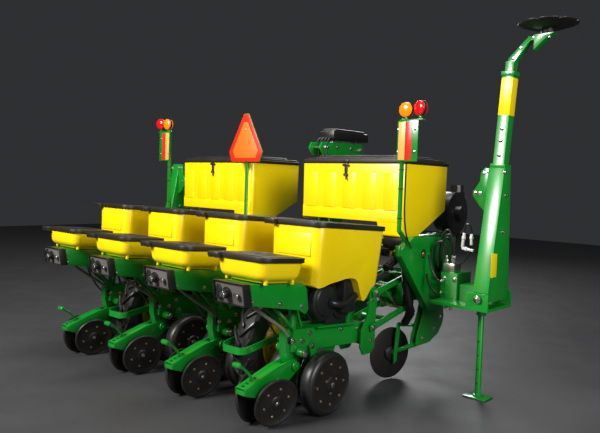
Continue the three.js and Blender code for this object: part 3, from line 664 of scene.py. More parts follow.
def seed_meter(n):
    piece = Piece()
    centre = Vector((0.0, METER_Y, METER_Z))
    hub = Matrix.Translation(centre)
    turned(piece, [(0, 0.122), (0.030, 0.122), (0.090, 0.114), (0.124, 0.098), (0.134, 0.078),
                   (0.134, 0.050), (0.148, 0.048),
                   (0.148, 0.020), (0.136, 0.018), (0.136, -0.09), (0.10, -0.12), (0, -0.12)], BLACK, hub, 48)
    ring = [(0.092, 0.108), (0.098, 0.117), (0.105, 0.110), (0.098, 0.104), (0.092, 0.108)]
    turned(piece, ring, BLACK, hub, 48)
    for k in range(8):
        angle = math.tau * (k + 0.5) / 8
        spoke = Vector((0, math.cos(angle), math.sin(angle)))
        bar(piece, centre + spoke * 0.040 + Vector((0.116, 0, 0)), centre + spoke * 0.100 + Vector((0.104,
            0, 0)), 0.005,
            BLACK, 8)
        bolt(piece, centre + spoke * 0.141 + Vector((0.048, 0, 0)), (1, 0, 0), 0.006, BLACK, 0.006)
    bar(piece, centre + Vector((0.10, 0.02, -0.01)), centre + Vector((0.142, 0.02, -0.01)), 0.030, BLACK,
        24, 0.004)
    hose(piece, [(0.136, 0.402, 0.712), (0.156, 0.415, 0.706), (0.160, 0.470, 0.700), (0.155, 0.560, 0.722),
                 (0.152, 0.660, 0.780), (0.158, 0.780, 0.850), (0.165, 0.880, 0.878),
                 (0.165, 0.950, 0.890)], 0.024, BLACK,
         sides=5)
    for x, y, z in ((0.158, 0.490, 0.702), (0.150, 0.650, 0.776)):
        bar(piece, (x, y - 0.01, z - 0.003), (x, y + 0.012, z + 0.003), 0.028, BLACK, 20)
    turned(piece, [(0, 0.095), (0.080, 0.095), (0.100, 0.085), (0.100, -0.08), (0, -0.08)], BLACK,
           Matrix.Translation((0.0, 0.575, 0.690)), 36)
    block(piece, (-0.150, 0.50, 0.640), (0.150, 0.640, 0.870), BLACK, 0.02)
    block(piece, (-0.07, 0.44, 0.556), (0.07, 0.66, 0.64), BLACK, 0.012)
    block(piece, (-0.05, 0.43, 0.64), (0.05, 0.58, 0.88), BLACK, 0.012)
    block(piece, (-0.02, 0.42, 0.33), (0.02, 0.50, 0.41), BLACK, 0.006)
    bar(piece, (0, 0.47, 0.33), (0, 0.50, 0.20), 0.02, BLACK, 12)
    return piece.place(f"row{n}_seed_meter", f"row{n}_unit", unit_place(row_x[n]), "lid_plastic")


for n in ROWS:
    seed_meter(n)
print("seed meters")

# %% [markdown]
# ## Opener discs and gauge wheels
# Two thin discs meet at the front to cut the seed furrow. The rubber gauge wheels beside them set
# its depth: a wide crowned tyre on a dished black disc, with a ring of bolts and a hub cap.

# %% Opener discs
def ring_bolts(piece, centre, radius, count, x, out, r, look, turn=0.0, stand=0.006):
    for k in range(count):
        angle = turn + math.tau * k / count
        bolt(piece, Vector(centre) + Vector((x, radius * math.cos(angle), radius * math.sin(angle))),
             (out, 0, 0), r,
             look, stand)


def opener_discs(n):
    piece = Piece()
    for s in (-1, 1):
        where = Matrix.Translation((s * 0.034, 0.42, 0.212)) @ Matrix.Rotation(s * math.radians(4), 4, "Z")
        turned(piece, [(0, -0.0045), (0.188, -0.0045), (0.19, 0), (0.188, 0.0005), (0, 0.0005)], STEEL,
               where, 56)
        turned(piece, [(0, -0.012), (0.05, -0.012), (0.06, 0), (0.05, 0.012), (0, 0.012)], BLACK, where, 28)
    return piece.place(f"row{n}_opener_discs", f"row{n}_unit", level_place(row_x[n]), "disc_steel")


# %% Gauge wheels
def gauge_wheels(n):
    piece = Piece()
    centre = (0, GAUGE_Y, GAUGE_Z)
    for s in (-1, 1):
        where = Matrix.Translation(centre)
        tyre = [(0.150, 0.126), (0.160, 0.109), (0.186, 0.105), (0.199, 0.110), (0.2048, 0.124),
                (0.2048, 0.150),
                (0.2035, 0.166), (0.199, 0.180), (0.190, 0.190), (0.181, 0.194), (0.172, 0.190)]
        turned(piece, [(r, s * x) for r, x in tyre + tyre[:1]], RUBBER, where, 72)
        dish = [(0, 0.104), (0.040, 0.104), (0.046, 0.130), (0.150, 0.140), (0.170, 0.186), (0.181, 0.196),
                (0.174, 0.199), (0.166, 0.194), (0.110, 0.191), (0.050, 0.196), (0.044, 0.205),
                (0.030, 0.2095),
                (0, 0.2100)]
        turned(piece, [(r, s * x) for r, x in dish], DISC, where, 64)
        ring_bolts(piece, centre, 0.128, 8, s * 0.1915, s, 0.0062, ZINC)
        ring_bolts(piece, centre, 0.055, 3, s * 0.195, s, 0.006, ZINC, 0.5)
        bolt(piece, Vector(centre) + Vector((s * 0.2105, 0, 0)), (s, 0, 0), 0.013, STEEL, 0.003)
    bar(piece, (-0.11, GAUGE_Y, GAUGE_Z), (0.11, GAUGE_Y, GAUGE_Z), 0.012, STEEL)
    return piece.place(f"row{n}_gauge_pair", f"row{n}_gauge", level_place(row_x[n]), "wheel_rubber",
                       [f"row{n}_gauge_wheels"])


def gauge_arms(n):
    """The cranked arm that each gauge wheel really hangs on, and the depth lever above it."""
    piece = Piece()
    for s in (-1, 1):
        low, high = sorted((s * 0.062, s * 0.082))
        plate(piece, [(0.30, 0.44), (0.345, 0.47), (0.40, 0.30), (0.415, 0.215), (0.39, 0.18),
                      (0.355, 0.20), (0.335, 0.30)],
              "X", low, high, GREEN, 0.004)
        bolt(piece, (s * 0.082, 0.325, 0.44), (s, 0, 0), 0.013)
    plate(piece, [(0.29, 0.545), (0.31, 0.545), (0.25, 0.70), (0.235, 0.695)], "X", -0.008, 0.008, GREEN)
    bar(piece, (-0.03, 0.243, 0.697), (0.03, 0.243, 0.697), 0.011, BLACK, 16)
    return piece.place(f"row{n}_gauge_arms", f"row{n}_unit", level_place(row_x[n]), "green_paint")


for n in ROWS:
    opener_discs(n)
    gauge_wheels(n)
    gauge_arms(n)
print("openers and gauge wheels")

# %% [markdown]
# ## Closing arm, springs and closing wheels
# A slotted arm trails from the tail of the unit with two narrow wheels in a V that press the furrow
# shut. A lever through the arm's top sets the pull of two springs. The wheels lean and toe a little,
# so each is turned on its own axle line, read from its joint.

# %% Closing arm
CLOSER_PIVOT = (0.205, 0.325)


def closing_arm(n):
    piece = Piece()
    side = [(-0.212, 0.262), (-0.212, 0.224), (-0.095, 0.184), (0.040, 0.168), (0.130, 0.225), (0.235, 0.290),
            (0.240, 0.335), (0.222, 0.362), (0.190, 0.372), (0.150, 0.366), (0.060, 0.350), (-0.060, 0.312)]
    for s in (-1, 1):
        low, high = sorted((s * 0.032, s * 0.044))
        plate(piece, side, "X", low, high, GREEN, 0.004)
        bar(piece, (s * 0.044, *CLOSER_PIVOT), (s * 0.060, *CLOSER_PIVOT), 0.030, GREEN, 28, 0.004)
        bolt(piece, (s * 0.060, *CLOSER_PIVOT), (s, 0, 0), 0.010, GREEN)
        bolt(piece, (s * 0.044, 0.060, 0.262), (s, 0, 0), 0.009)
        joint = joints[f"row{n}_press_roll_{'right' if s > 0 else 'left'}"]
        hub = Vector(joint["pos_m"]) - Vector((row_x[n], stern, ground))
        spin = Vector(joint["axis"])
        bar(piece, hub - spin * 0.080, hub - spin * 0.012, 0.011, STEEL, 16)
    plate(piece, [(-0.212, 0.262), (-0.060, 0.312), (0.060, 0.350), (0.105, 0.358), (0.105, 0.349),
                  (0.060, 0.342),
                  (-0.060, 0.303), (-0.212, 0.253)], "X", -0.036, 0.036, GREEN, 0.001)
    plate(piece, [(-0.212, 0.262), (-0.207, 0.262), (-0.207, 0.224), (-0.212, 0.224)], "X", -0.040, 0.040,
          GREEN, 0.001)
    plate(piece, [(-0.095, 0.200), (-0.095, 0.184), (0.040, 0.168), (0.060, 0.182), (0.040, 0.186)], "X",
          -0.036, 0.036,
          GREEN, 0.001)
    slope = math.atan2(0.050, 0.152)
    for t in (0.16, 0.36, 0.56, 0.76):
        spot = Vector((0, -0.212 + 0.152 * t, 0.2625 + 0.050 * t))
        slab(piece, Matrix.Translation(spot) @ Matrix.Rotation(slope, 4, "X"), (0.022, 0.014, 0.004), BLACK,
             0.001)
    hose(piece, [(0, -0.100, 0.235), (0, -0.118, 0.300), (0, -0.150, 0.345), (0, -0.200, 0.385),
                 (0, -0.236, 0.400)],
         0.0085, GREEN, sides=4)
    turned(piece, [(0, -0.034), (0.010, -0.034), (0.016, -0.026), (0.018, 0), (0.016, 0.026),
                   (0.010, 0.034), (0, 0.034)],
           GREEN, Matrix.Translation((0, -0.240, 0.404)), 24)
    return piece.place(f"row{n}_closing_arm_dressed", f"row{n}_closer", level_place(row_x[n]), "green_paint",
                       [f"row{n}_closing_arm"])


def closing_springs(n):
    """The pair of painted springs that slope from the channel to the foot of the shank."""
    piece = Piece()
    for s in (-1, 1):
        top, low = Vector((s * 0.040, -0.010, 0.730)), Vector((s * 0.044, 0.180, 0.560))
        bar(piece, top, low, 0.0065, GREEN, 16)
        coil(piece, top.lerp(low, 0.12), top.lerp(low, 0.88), 0.0125, 0.0032, 15, GREEN)
        bar(piece, top - Vector((s * 0.012, 0, 0)), top + Vector((s * 0.012, 0, 0)), 0.012, GREEN, 16)
        bar(piece, low - Vector((s * 0.012, 0, 0)), low + Vector((s * 0.012, 0, 0)), 0.013, GREEN, 16)
    block(piece, (-0.052, -0.022, 0.722), (0.052, 0.004, 0.790), GREEN, 0.003)
    return piece.place(f"row{n}_closing_springs", f"row{n}_unit", level_place(row_x[n]), "green_paint")


# %% Closing wheels
def axle_place(joint):
    """The matrix that takes the X axis to a joint's axle line."""
    spin = Vector(joint["axis"])
    return Matrix.Translation(joint["pos_m"]) @ spin.to_track_quat("X", "Z").to_matrix().to_4x4()


def closing_wheel(n, side):
    piece = Piece()
    turned(piece, [(0, -0.0155), (0.034, -0.0155), (0.038, -0.006), (0.128, -0.003), (0.134, -0.010),
                   (0.146, -0.0095),
                   (0.1515, -0.004), (0.152, 0.0), (0.1515, 0.004), (0.147, 0.0095), (0.140, 0.0105),
                   (0.133, 0.008),
                   (0.126, 0.0035), (0.090, 0.001), (0.060, 0.004), (0.044, 0.0045), (0.038, 0.009),
                   (0.024, 0.0125),
                   (0, 0.0125)], DISC, steps=64)
    ring_bolts(piece, (0, 0, 0), 0.088, 6, 0.0015, 1, 0.0055, ZINC, 0.3)
    bolt(piece, (0.0115, 0, 0), (1, 0, 0), 0.009, STEEL, 0.006)
    return piece.place(f"row{n}_press_wheel_{side}", f"row{n}_press_{side}",
                       axle_place(joints[f"row{n}_press_roll_{side}"]), "disc_steel",
                       [f"row{n}_closing_wheel_{side}"])


for n in ROWS:
    closing_arm(n)
    closing_springs(n)
    closing_wheel(n, "left")
    closing_wheel(n, "right")
print("closing arms and wheels")

# %% [markdown]
# ## Parallel links and the down-force spring
# Two pairs of parallel arms let each unit ride over the ground without tipping. Their solids are
# right as they are, so copies get broken edges, pin heads and, on the upper pair, the spring that
# presses the unit down.

# %% Links
def pin_heads(piece, pin, reach):
    for s in (-1, 1):
        bar(piece, pin + Vector((s * reach, 0, 0)), pin + Vector((s * (reach + 0.006), 0, 0)), 0.021, STEEL,
            20)
        bolt(piece, pin + Vector((s * (reach + 0.006), 0, 0)), (s, 0, 0), 0.014, STEEL, 0.008)


LINK_SPRING = ((stern + 1.083, ground + 0.747), (stern + 1.315, ground + 0.565))


def links(n, which, fore, aft):
    piece = Piece()
    from_frame(piece, f"row{n}_{which}_links", GREEN, 0.003)
    pin_heads(piece, fore, 0.1195)
    pin_heads(piece, aft, 0.1195)
    if which == "upper":
        mid, tip = (Vector((fore.x, *spot)) for spot in LINK_SPRING)
        for s in (-1, 1):
            side = Vector((s * 0.055, 0, 0))
            bar(piece, mid + side, tip + side, 0.0095, GREEN, 20, 0.002)
            bar(piece, mid.lerp(tip, 0.55) + side, tip.lerp(mid, 0.06) + side, 0.0105, STEEL, 20)
        bar(piece, mid - Vector((0.105, 0, 0)), mid + Vector((0.105, 0, 0)), 0.012, STEEL)
        bar(piece, tip - Vector((0.085, 0, 0)), tip + Vector((0.085, 0, 0)), 0.009, STEEL)
    return piece.place(f"row{n}_{which}_arms", f"row{n}_{which}", slot="green_paint",
                       replaces=[f"row{n}_{which}_links"])


for n in ROWS:
    upper_fore, upper_aft = Vector(joints[f"row{n}_lift"]["pos_m"]), Vector(joints[f"row{n}_level"]["pos_m"])
    lower_fore = Vector(joints[f"row{n}_lower_link"]["pos_m"])
    lower_aft = lower_fore + (upper_aft - upper_fore)
    links(n, "upper", upper_fore, upper_aft)
    links(n, "lower", lower_fore, lower_aft)
print("links")

# %% [markdown]
# ## The toolbar, hitch mast and fan
# The toolbar, hitch plate, mast and tank rails are one weldment, and the fan's scroll housing is
# bolted on beside the tanks. A copy of the solid gets broken edges, and the housing its black
# finish. Then come the U-bolts that clamp each row's bracket, the hitch's bolts, the mast's black
# cover and the hoses that run along the bar.

# %% Toolbar
MACHINE = Matrix.Translation(base)
BAR_Y, BAR_Z, BAR_HALF = 1.545, 0.700, 0.089


def toolbar():
    piece = Piece()
    from_frame(piece, "toolbar", GREEN, 0.003)
    piece.finishes.append(BLACK)
    for face in piece.bm.faces:
        c = face.calc_center_median() - base
        if c.x > 1.03 and c.y > 1.70 and c.z > 1.113:
            face.material_index = 1
    local = Piece()
    for n in ROWS:
        x = row_x[n]
        for dx in (-0.075, 0.075):
            for z in (BAR_Z + BAR_HALF + 0.008, BAR_Z - BAR_HALF - 0.008):
                bar(local, (x + dx, BAR_Y - BAR_HALF - 0.03, z), (x + dx, BAR_Y + BAR_HALF + 0.01, z),
                    0.008, STEEL, 14)
                bolt(local, (x + dx, BAR_Y - BAR_HALF - 0.012, z), (0, -1, 0), 0.014, STEEL, 0.014)
            bar(local, (x + dx, BAR_Y + BAR_HALF + 0.008, BAR_Z - BAR_HALF - 0.016),
                (x + dx, BAR_Y + BAR_HALF + 0.008, BAR_Z + BAR_HALF + 0.016), 0.008, STEEL, 14)
    for x in (-1.18, -0.37, 0.37, 1.18):
        for y in (1.20, 1.585):
            bolt(local, (x, y, 1.106), (0, 0, 1), 0.012)
        block(local, (x - 0.055, BAR_Y - 0.07, BAR_Z + BAR_HALF), (x + 0.055, BAR_Y + 0.05,
                                                                   BAR_Z + BAR_HALF + 0.012),
              GREEN, 0.003)
        for dx in (-0.04, 0.04):
            bolt(local, (x + dx, BAR_Y - 0.055, BAR_Z + BAR_HALF + 0.012), (0, 0, 1), 0.011)
    for s in (-1, 1):
        for x, z in ((0.29, 0.75), (0.29, 0.65), (0.12, 0.75), (0.12, 0.65)):
            bolt(local, (s * x, 1.900, z), (0, 1, 0), 0.013)
        for y, z in ((1.66, 1.79), (1.80, 1.80), (2.00, 1.80), (2.13, 1.79)):
            bolt(local, (s * 0.070, y, z), (s, 0, 0), 0.014)
        block(local, (min(s * 0.07, s * 0.082), 1.93, 1.62), (max(s * 0.07, s * 0.082), 1.99, 1.72), GREEN,
              0.003)
    bar(local, (-0.095, 2.14, 1.79), (0.095, 2.14, 1.79), 0.016, STEEL)
    bar(local, (-0.09, 1.62, 1.79), (0.09, 1.62, 1.79), 0.012, STEEL)
    join(piece, local, MACHINE)
    return piece.place("toolbar_dressed", "machine", slot="green_paint", replaces=["toolbar"])


toolbar()


# %% Mast cover, hoses and vacuum pipe
def mast_cover():
    piece = Piece()
    block(piece, (-0.088, 1.72, 1.865), (0.088, 2.24, 1.945), BLACK, 0.012)
    block(piece, (-0.075, 1.76, 1.94), (0.075, 2.19, 1.965), BLACK, 0.008)
    for y in (1.80, 2.14):
        bar(piece, (0, y, 1.78), (0, y, 1.87), 0.02, STEEL, 16)
    for x in (-0.045, -0.015, 0.015, 0.045):
        hose(piece, [(x, 1.76, 1.88), (x * 1.4, 1.66, 1.90), (x * 1.6, 1.63, 1.70), (x * 1.5, 1.70, 1.40),
                     (x * 2, 1.76, 1.10), (x * 3, 1.72, 0.86), (x * 5 + 0.02, 1.67, 0.81)], 0.0095, BLACK)
    return piece.place("mast_cover", "machine", MACHINE, "lid_plastic")


def bar_hoses():
    piece = Piece()
    for k, (y, z) in enumerate(((1.59, 0.802), (1.565, 0.803), (1.545, 0.802))):
        sag = 0.006 * k
        hose(piece, [(-1.22, y, z), (-0.6, y + sag, z + 0.004), (0.0, y - sag, z),
                     (0.6, y + sag, z + 0.005), (1.22, y, z)],
             0.0095, BLACK)
    for x in (-0.95, -0.55, -0.15, 0.15, 0.55, 0.95):
        bar(piece, (x - 0.004, 1.567, 0.792), (x + 0.004, 1.567, 0.792), 0.036, BLACK, 20)
    bar(piece, (-1.02, 1.685, 0.93), (1.185, 1.685, 0.93), 0.047, BLACK, 28, 0.006)
    hose(piece, [(1.185, 1.985, 1.33), (1.185, 1.97, 1.15), (1.19, 1.85, 1.00), (1.19, 1.72, 0.94)], 0.05,
         BLACK, rings=0.03,
         sides=4)
    for n in ROWS:
        x = row_x[n] + 0.12
        hose(piece, [(x, 1.67, 0.93), (x, 1.60, 0.97), (x, 1.42, 0.995), (x + 0.010, 1.24, 0.985),
                     (x + 0.038, 1.12, 0.950),
                     (x + 0.045, 0.975, 0.895)], 0.024, BLACK,
             rings=0.02)
        bar(piece, (x - 0.002, 1.60, 0.93), (x, 1.69, 0.93), 0.033, BLACK, 20)
    return piece.place("bar_hoses", "machine", MACHINE, "lid_plastic")


mast_cover()
bar_hoses()
print("toolbar")

# %% [markdown]
# ## End plates, lamps and reflector boards
# The wide green plate at each end stiffens the tank frame and carries the road lighting: a striped
# board that faces the rear, and an amber and a red lamp on short brackets above it.

# %% End plates
END_FACE = 1.318
AXLE_TO_Y = Matrix.Rotation(math.radians(90), 4, "Z")


def lamp(piece, x, y, z, lens, turn=0.0):
    """A two-sided round lamp that faces fore and aft, on a bracket."""
    where = Matrix.Translation((x, y, z)) @ Matrix.Rotation(turn, 4, "Z") @ AXLE_TO_Y
    turned(piece, [(0, -0.012), (0.047, -0.012), (0.052, -0.008), (0.052, 0.008), (0.047, 0.012),
                   (0, 0.012)], BLACK, where,
           40)
    for s in (-1, 1):
        turned(piece, [(0, s * 0.010), (0.050, s * 0.010), (0.049, s * 0.018), (0.042, s * 0.026),
                       (0.022, s * 0.032),
                       (0, s * 0.033)], lens, where, 40)
        for k in range(8):
            angle = math.tau * k / 8
            rib = Vector((s * 0.024, 0.042 * math.cos(angle), 0.042 * math.sin(angle)))
            bar(piece, where @ Vector((s * 0.031, 0, 0)), where @ rib, 0.0022, lens, 8)
    block(piece, (x - 0.010, y - 0.008, z - 0.075), (x + 0.010, y + 0.008, z - 0.045), GREEN, 0.003)


def end_plate(side, s):
    piece = Piece()
    from_frame(piece, f"end_plate_{side}", GREEN, 0.003)
    local = Piece()
    face = s * END_FACE
    for y, z in ((1.70, 0.585), (1.72, 1.05)):
        bolt(local, (face, y, z), (s, 0, 0), 0.010)
    for y, z, r in ((1.290, 0.985, 0.038), (1.560, 0.690, 0.038)):
        turned(local, [(r - 0.004, s * 1.317), (r + 0.010, s * 1.317), (r + 0.010, s * 1.3215),
                       (r - 0.004, s * 1.3215),
                       (r - 0.004, s * 1.317)], GREEN, Matrix.Translation((0, y, z)), 32)
        bar(local, (s * 1.300, y, z), (s * 1.3185, y, z), 0.034, BLACK, 32)
        bolt(local, (s * 1.3185, y, z), (s, 0, 0), 0.014, ZINC, 0.010)
    low, high = 1.645, 1.900
    for a, b, look in ((1.300, 1.352, CREAM), (1.352, 1.404, RED_TAPE)):
        block(local, (min(s * a, s * b), 0.9425, low), (max(s * a, s * b), 0.9455, high), look, 0.0006)
        block(local, (min(s * a, s * b), 0.9485, low), (max(s * a, s * b), 0.9515, high), look, 0.0006)
    for z in (1.70, 1.85):
        bolt(local, (s * 1.427, 0.9445, z), (0, -1, 0), 0.007)
        bolt(local, (s * 1.2945, 0.9445, z), (0, -1, 0), 0.004)
    lamp(local, s * 1.342, 0.965, 1.982, AMBER)
    lamp(local, s * 1.452, 0.965, 1.988, RED, s * math.radians(-18))
    bar(local, (s * END_FACE, 0.968, 0.99), (s * END_FACE, 0.968, 1.06), 0.021, GREEN)
    hose(local, [(s * 1.335, 0.99, 1.90), (s * 1.338, 0.995, 1.70), (s * 1.336, 0.992, 1.40),
                 (s * 1.338, 1.00, 1.12),
                 (s * 1.34, 1.10, 1.04)], 0.0055, BLACK)
    for z in (1.25, 1.45, 1.58):
        bar(local, (s * END_FACE, 0.968, z - 0.003), (s * END_FACE, 0.968, z + 0.003), 0.0215, BLACK, 18)
    join(piece, local, MACHINE)
    return piece.place(f"end_plate_{side}_dressed", "machine", slot="green_paint",
                       replaces=[f"end_plate_{side}"])


end_plate("left", -1)
end_plate("right", 1)


# %% Slow vehicle triangle
def slow_sign():
    """A retro-reflective triangle with a red border and cut corners, on the rear post; its orange middle has
    a painted glow.
    """
    piece = Piece()
    outer = [(-0.430, 1.712), (-0.395, 1.628), (-0.053, 1.628), (-0.018, 1.712), (-0.195, 2.030),
             (-0.253, 2.030)]
    cx, cz = -0.224, 1.755
    inner = [(cx + (x - cx) * 0.74, cz + (z - cz) * 0.74) for x, z in outer]
    plate(piece, [(cx + (x - cx) * 0.985, cz + (z - cz) * 0.985) for x, z in outer], "Y", 0.9425, 0.9455,
          RED_TAPE, 0.0008)
    # The orange middle glows a little: painted light, as the tape is no lamp.
    plate(piece, inner, "Y", 0.9405, 0.9435, ORANGE_PAINTED_GLOW, 0.0008)
    for z in (1.70, 1.90):
        bolt(piece, (-0.224, 0.9415, z), (0, -1, 0), 0.006)
    return piece.place("slow_sign", "machine", MACHINE)


slow_sign()
print("end plates")

# %% [markdown]
# ## Fertiliser tanks
# Two roto-moulded tanks sit on the rails. The solid's outline is right, so a copy gets the generous
# radii of a moulding, then broad raised panels, a skirt below its rear wall, the lid's rubber strap
# and its catch, and below it the black outlet meters.

# %% Tanks
TANK_INNER, TANK_OUTER = 0.292, 1.262


def tank(side, s):
    piece = Piece()
    from_frame(piece, f"tank_{side}", YELLOW, 0.011, 30)
    local = Piece()
    a, b = sorted((s * TANK_INNER, s * TANK_OUTER))
    for k in range(5):
        x = a + 0.11 + (b - a - 0.22) * k / 4
        block(local, (x - 0.058, 1.0885, 1.290), (x + 0.058, 1.0960, 1.560), YELLOW, 0.0045)
        block(local, (x - 0.058, 1.7060, 1.380), (x + 0.058, 1.7120, 1.560), YELLOW, 0.004)
    block(local, (a + 0.02, 1.0935, 1.205), (b - 0.02, 1.1035, 1.300), YELLOW, 0.004)
    join(piece, local, MACHINE)
    return piece.place(f"tank_{side}_moulded", "machine", slot="yellow_plastic", replaces=[f"tank_{side}"])


def tank_fittings(side, s):
    piece = Piece()
    a, b = sorted((s * TANK_INNER, s * TANK_OUTER))
    mid = (a + b) / 2 - 0.03
    block(piece, (mid - 0.011, 1.076, 1.545), (mid + 0.011, 1.086, 1.630), BLACK, 0.003)
    block(piece, (mid - 0.030, 1.072, 1.605), (mid + 0.030, 1.084, 1.622), BLACK, 0.004)
    bar(piece, (mid - 0.018, 1.080, 1.540), (mid + 0.018, 1.080, 1.540), 0.009, BLACK, 16)
    bar(piece, (mid, 1.078, 1.548), (mid + 0.012, 1.073, 1.505), 0.006, BLACK, 12)
    block(piece, (b - 0.185, 1.125, 1.018), (b - 0.015, 1.300, 1.108), BLACK, 0.008)
    block(piece, (b - 0.205, 1.160, 1.040), (b - 0.180, 1.260, 1.090), GREY, 0.004)
    bar(piece, (b - 0.22, 1.21, 1.065), (b + 0.012, 1.21, 1.065), 0.010, STEEL, 6)
    for x in (b - 0.155, b - 0.045):
        bar(piece, (x, 1.21, 0.975), (x, 1.21, 1.025), 0.030, BLACK, 24, 0.004)
        bar(piece, (x, 1.21, 0.985), (x, 1.21, 0.997), 0.032, STEEL, 24)
    return piece.place(f"tank_fittings_{side}", "machine", MACHINE, "lid_plastic")


def tank_cover(side, s):
    piece = Piece()
    a, b = sorted((s * TANK_INNER, s * TANK_OUTER))
    tub(piece, (a - 0.008, 1.080, 1.627), (b + 0.008, 1.718, 1.654), 0.046, LID, 0, 0.007)
    tub(piece, (a + 0.012, 1.102, 1.650), (b - 0.012, 1.696, 1.672), 0.046, LID, -0.008, 0.006)
    tub(piece, (a + 0.090, 1.160, 1.668), (b - 0.090, 1.640, 1.690), 0.06, LID, -0.014, 0.006)
    for k in range(1, 5):
        x = a + (b - a) * k / 5
        block(piece, (x - 0.012, 1.20, 1.6885), (x + 0.012, 1.60, 1.6915), LID, 0.001)
    mid = (a + b) / 2 - 0.03
    block(piece, (mid - 0.028, 1.072, 1.632), (mid + 0.028, 1.086, 1.652), LID, 0.004)
    return piece.place(f"tank_cover_{side}_moulded", f"tank_cover_{side}", MACHINE, "lid_plastic",
                       [f"tank_lid_{side}"])


for tank_side, tank_sign in (("left", -1), ("right", 1)):
    tank(tank_side, tank_sign)
    tank_fittings(tank_side, tank_sign)
    tank_cover(tank_side, tank_sign)
print("tanks")

# %% [markdown]
# ## Fertiliser openers
# Ahead of each row a slanted disc opens a slot for dry fertiliser. It hangs from the bar on a
# rounded green arm, and a corrugated hose from the tank's outlet ends just above it.

# %% Openers
def fertiliser_opener(n):
    piece = Piece()
    x = row_x[n] + 0.145
    arm = [(1.365, 0.300), (1.385, 0.280), (1.560, 0.284), (1.680, 0.330), (1.745, 0.400), (1.760, 0.470),
           (1.740, 0.534),
           (1.640, 0.600), (1.470, 0.600), (1.440, 0.500), (1.375, 0.360)]
    plate(piece, arm, "X", x - 0.006, x + 0.006, GREEN, 0.003)
    plate(piece, arm, "X", x + 0.040, x + 0.048, GREEN, 0.003)
    block(piece, (x - 0.02, 1.50, 0.575), (x + 0.055, 1.60, 0.612), GREEN, 0.004)
    for y, z in ((1.50, 0.56), (1.60, 0.56), (1.70, 0.46), (1.62, 0.38), (1.46, 0.33)):
        bar(piece, (x, y, z), (x + 0.046, y, z), 0.016, GREEN)
        bolt(piece, (x + 0.048, y, z), (1, 0, 0), 0.012)
        bolt(piece, (x - 0.006, y, z), (-1, 0, 0), 0.010)
    where = Matrix.Translation((row_x[n] - 0.015, 1.335, 0.200)) @ Matrix.Rotation(math.radians(-14), 4, "Z")
    turned(piece, [(0, -0.004), (0.190, -0.004), (0.195, 0), (0.190, 0.0025), (0, 0.0025)], DISC, where, 56)
    turned(piece, [(0, -0.016), (0.045, -0.016), (0.060, -0.003), (0.060, 0.003), (0.052, 0.020),
                   (0.030, 0.030), (0, 0.030)],
           BLACK, where, 32)
    for k in range(6):
        angle = math.tau * k / 6
        bolt(piece, where @ Vector((0.018, 0.034 * math.cos(angle), 0.034 * math.sin(angle))),
             (1, -0.25, 0), 0.005, STEEL, 0.005)
    bar(piece, (row_x[n] + 0.005, 1.335, 0.205), (x + 0.044, 1.405, 0.300), 0.018, GREEN)
    plate(piece, [(1.34, 0.44), (1.385, 0.44), (1.345, 0.14), (1.315, 0.13), (1.312, 0.20)], "X",
          row_x[n] + 0.034,
          row_x[n] + 0.044, GREEN, 0.002)
    bar(piece, (row_x[n] + 0.034, 1.365, 0.42), (x, 1.47, 0.42), 0.014, GREEN)
    return piece.place(f"fertiliser_opener_{n}", "machine", MACHINE, "disc_steel")


def fertiliser_hoses():
    piece = Piece()
    outlets = {1: -0.447, 2: -0.337, 3: 1.107, 4: 1.217}
    for n in ROWS:
        top, low = outlets[n], row_x[n] + 0.165
        hose(piece, [(top, 1.21, 0.985), (top, 1.20, 0.978), ((top + low) / 2, 1.19, 0.985),
                     (low + 0.015, 1.20, 0.90),
                     (low, 1.26, 0.66), (low, 1.33, 0.54), (row_x[n] + 0.09, 1.36, 0.44)], 0.026, BLACK,
             rings=0.013, sides=5)
        bar(piece, (top, 1.208, 0.945), (top, 1.209, 0.985), 0.034, STEEL, 24, 0.003)
    return piece.place("fertiliser_hoses", "machine", MACHINE, "lid_plastic")


for n in ROWS:
    fertiliser_opener(n)
fertiliser_hoses()
print("openers")

# %% [markdown]
# ## Rockshaft and transport wheels
# The wheels hang between the rows on a shaft with two arms, and a flat bar bent to a U guards each
# tyre from behind. The tyre drives the meters, so slanted lugs are laid around its carcass in two
# handed rows, and the yellow wheel inside it is dished and bolted to its hub.

# %% Rockshaft
WHEEL_ARM_X = 0.813
SHAFT_Y, SHAFT_Z = (joints["rockshaft_turn"]["pos_m"][k] - base[k] for k in (1, 2))


def strap(piece, path, z_of, height, thick, look):
    """A flat bar on edge, bent along an XY path, whose height may vary with y."""
    bm = bmesh.new()
    rings = []
    for i, p in enumerate(path):
        before, after = path[max(i - 1, 0)], path[min(i + 1, len(path) - 1)]
        run = Vector((after[0] - before[0], after[1] - before[1])).normalized()
        side = Vector((-run.y, run.x)) * thick / 2
        z = z_of(p[1])
        rings.append([bm.verts.new((p[0] + side.x * k, p[1] + side.y * k, z + height / 2 * h))
                      for k, h in ((1, -1), (1, 1), (-1, 1), (-1, -1))])
    for a, b in zip(rings, rings[1:]):
        for k in range(4):
            bm.faces.new((a[k], a[(k + 1) % 4], b[(k + 1) % 4], b[k]))
    bm.faces.new(rings[0])
    bm.faces.new(rings[-1][::-1])
    piece.take(bm, look)


def guard_path(inner, outer, front, rear, radius):
    """A U from the inner side's front, round the back of the tyre, to the outer side's front."""
    across = 1 if outer > inner else -1
    path = [(inner, front), (inner, (front + rear) / 2)]
    for k in range(9):
        angle = math.pi + k * math.pi / 16
        path.append((inner + across * (radius + radius * math.cos(angle)),
                     rear + radius + radius * math.sin(angle)))
    for k in range(9):
        angle = 1.5 * math.pi + k * math.pi / 16
        path.append((outer - across * (radius - radius * math.cos(angle)),
                     rear + radius + radius * math.sin(angle)))
    return path + [(outer, (front + rear) / 2), (outer, front)]


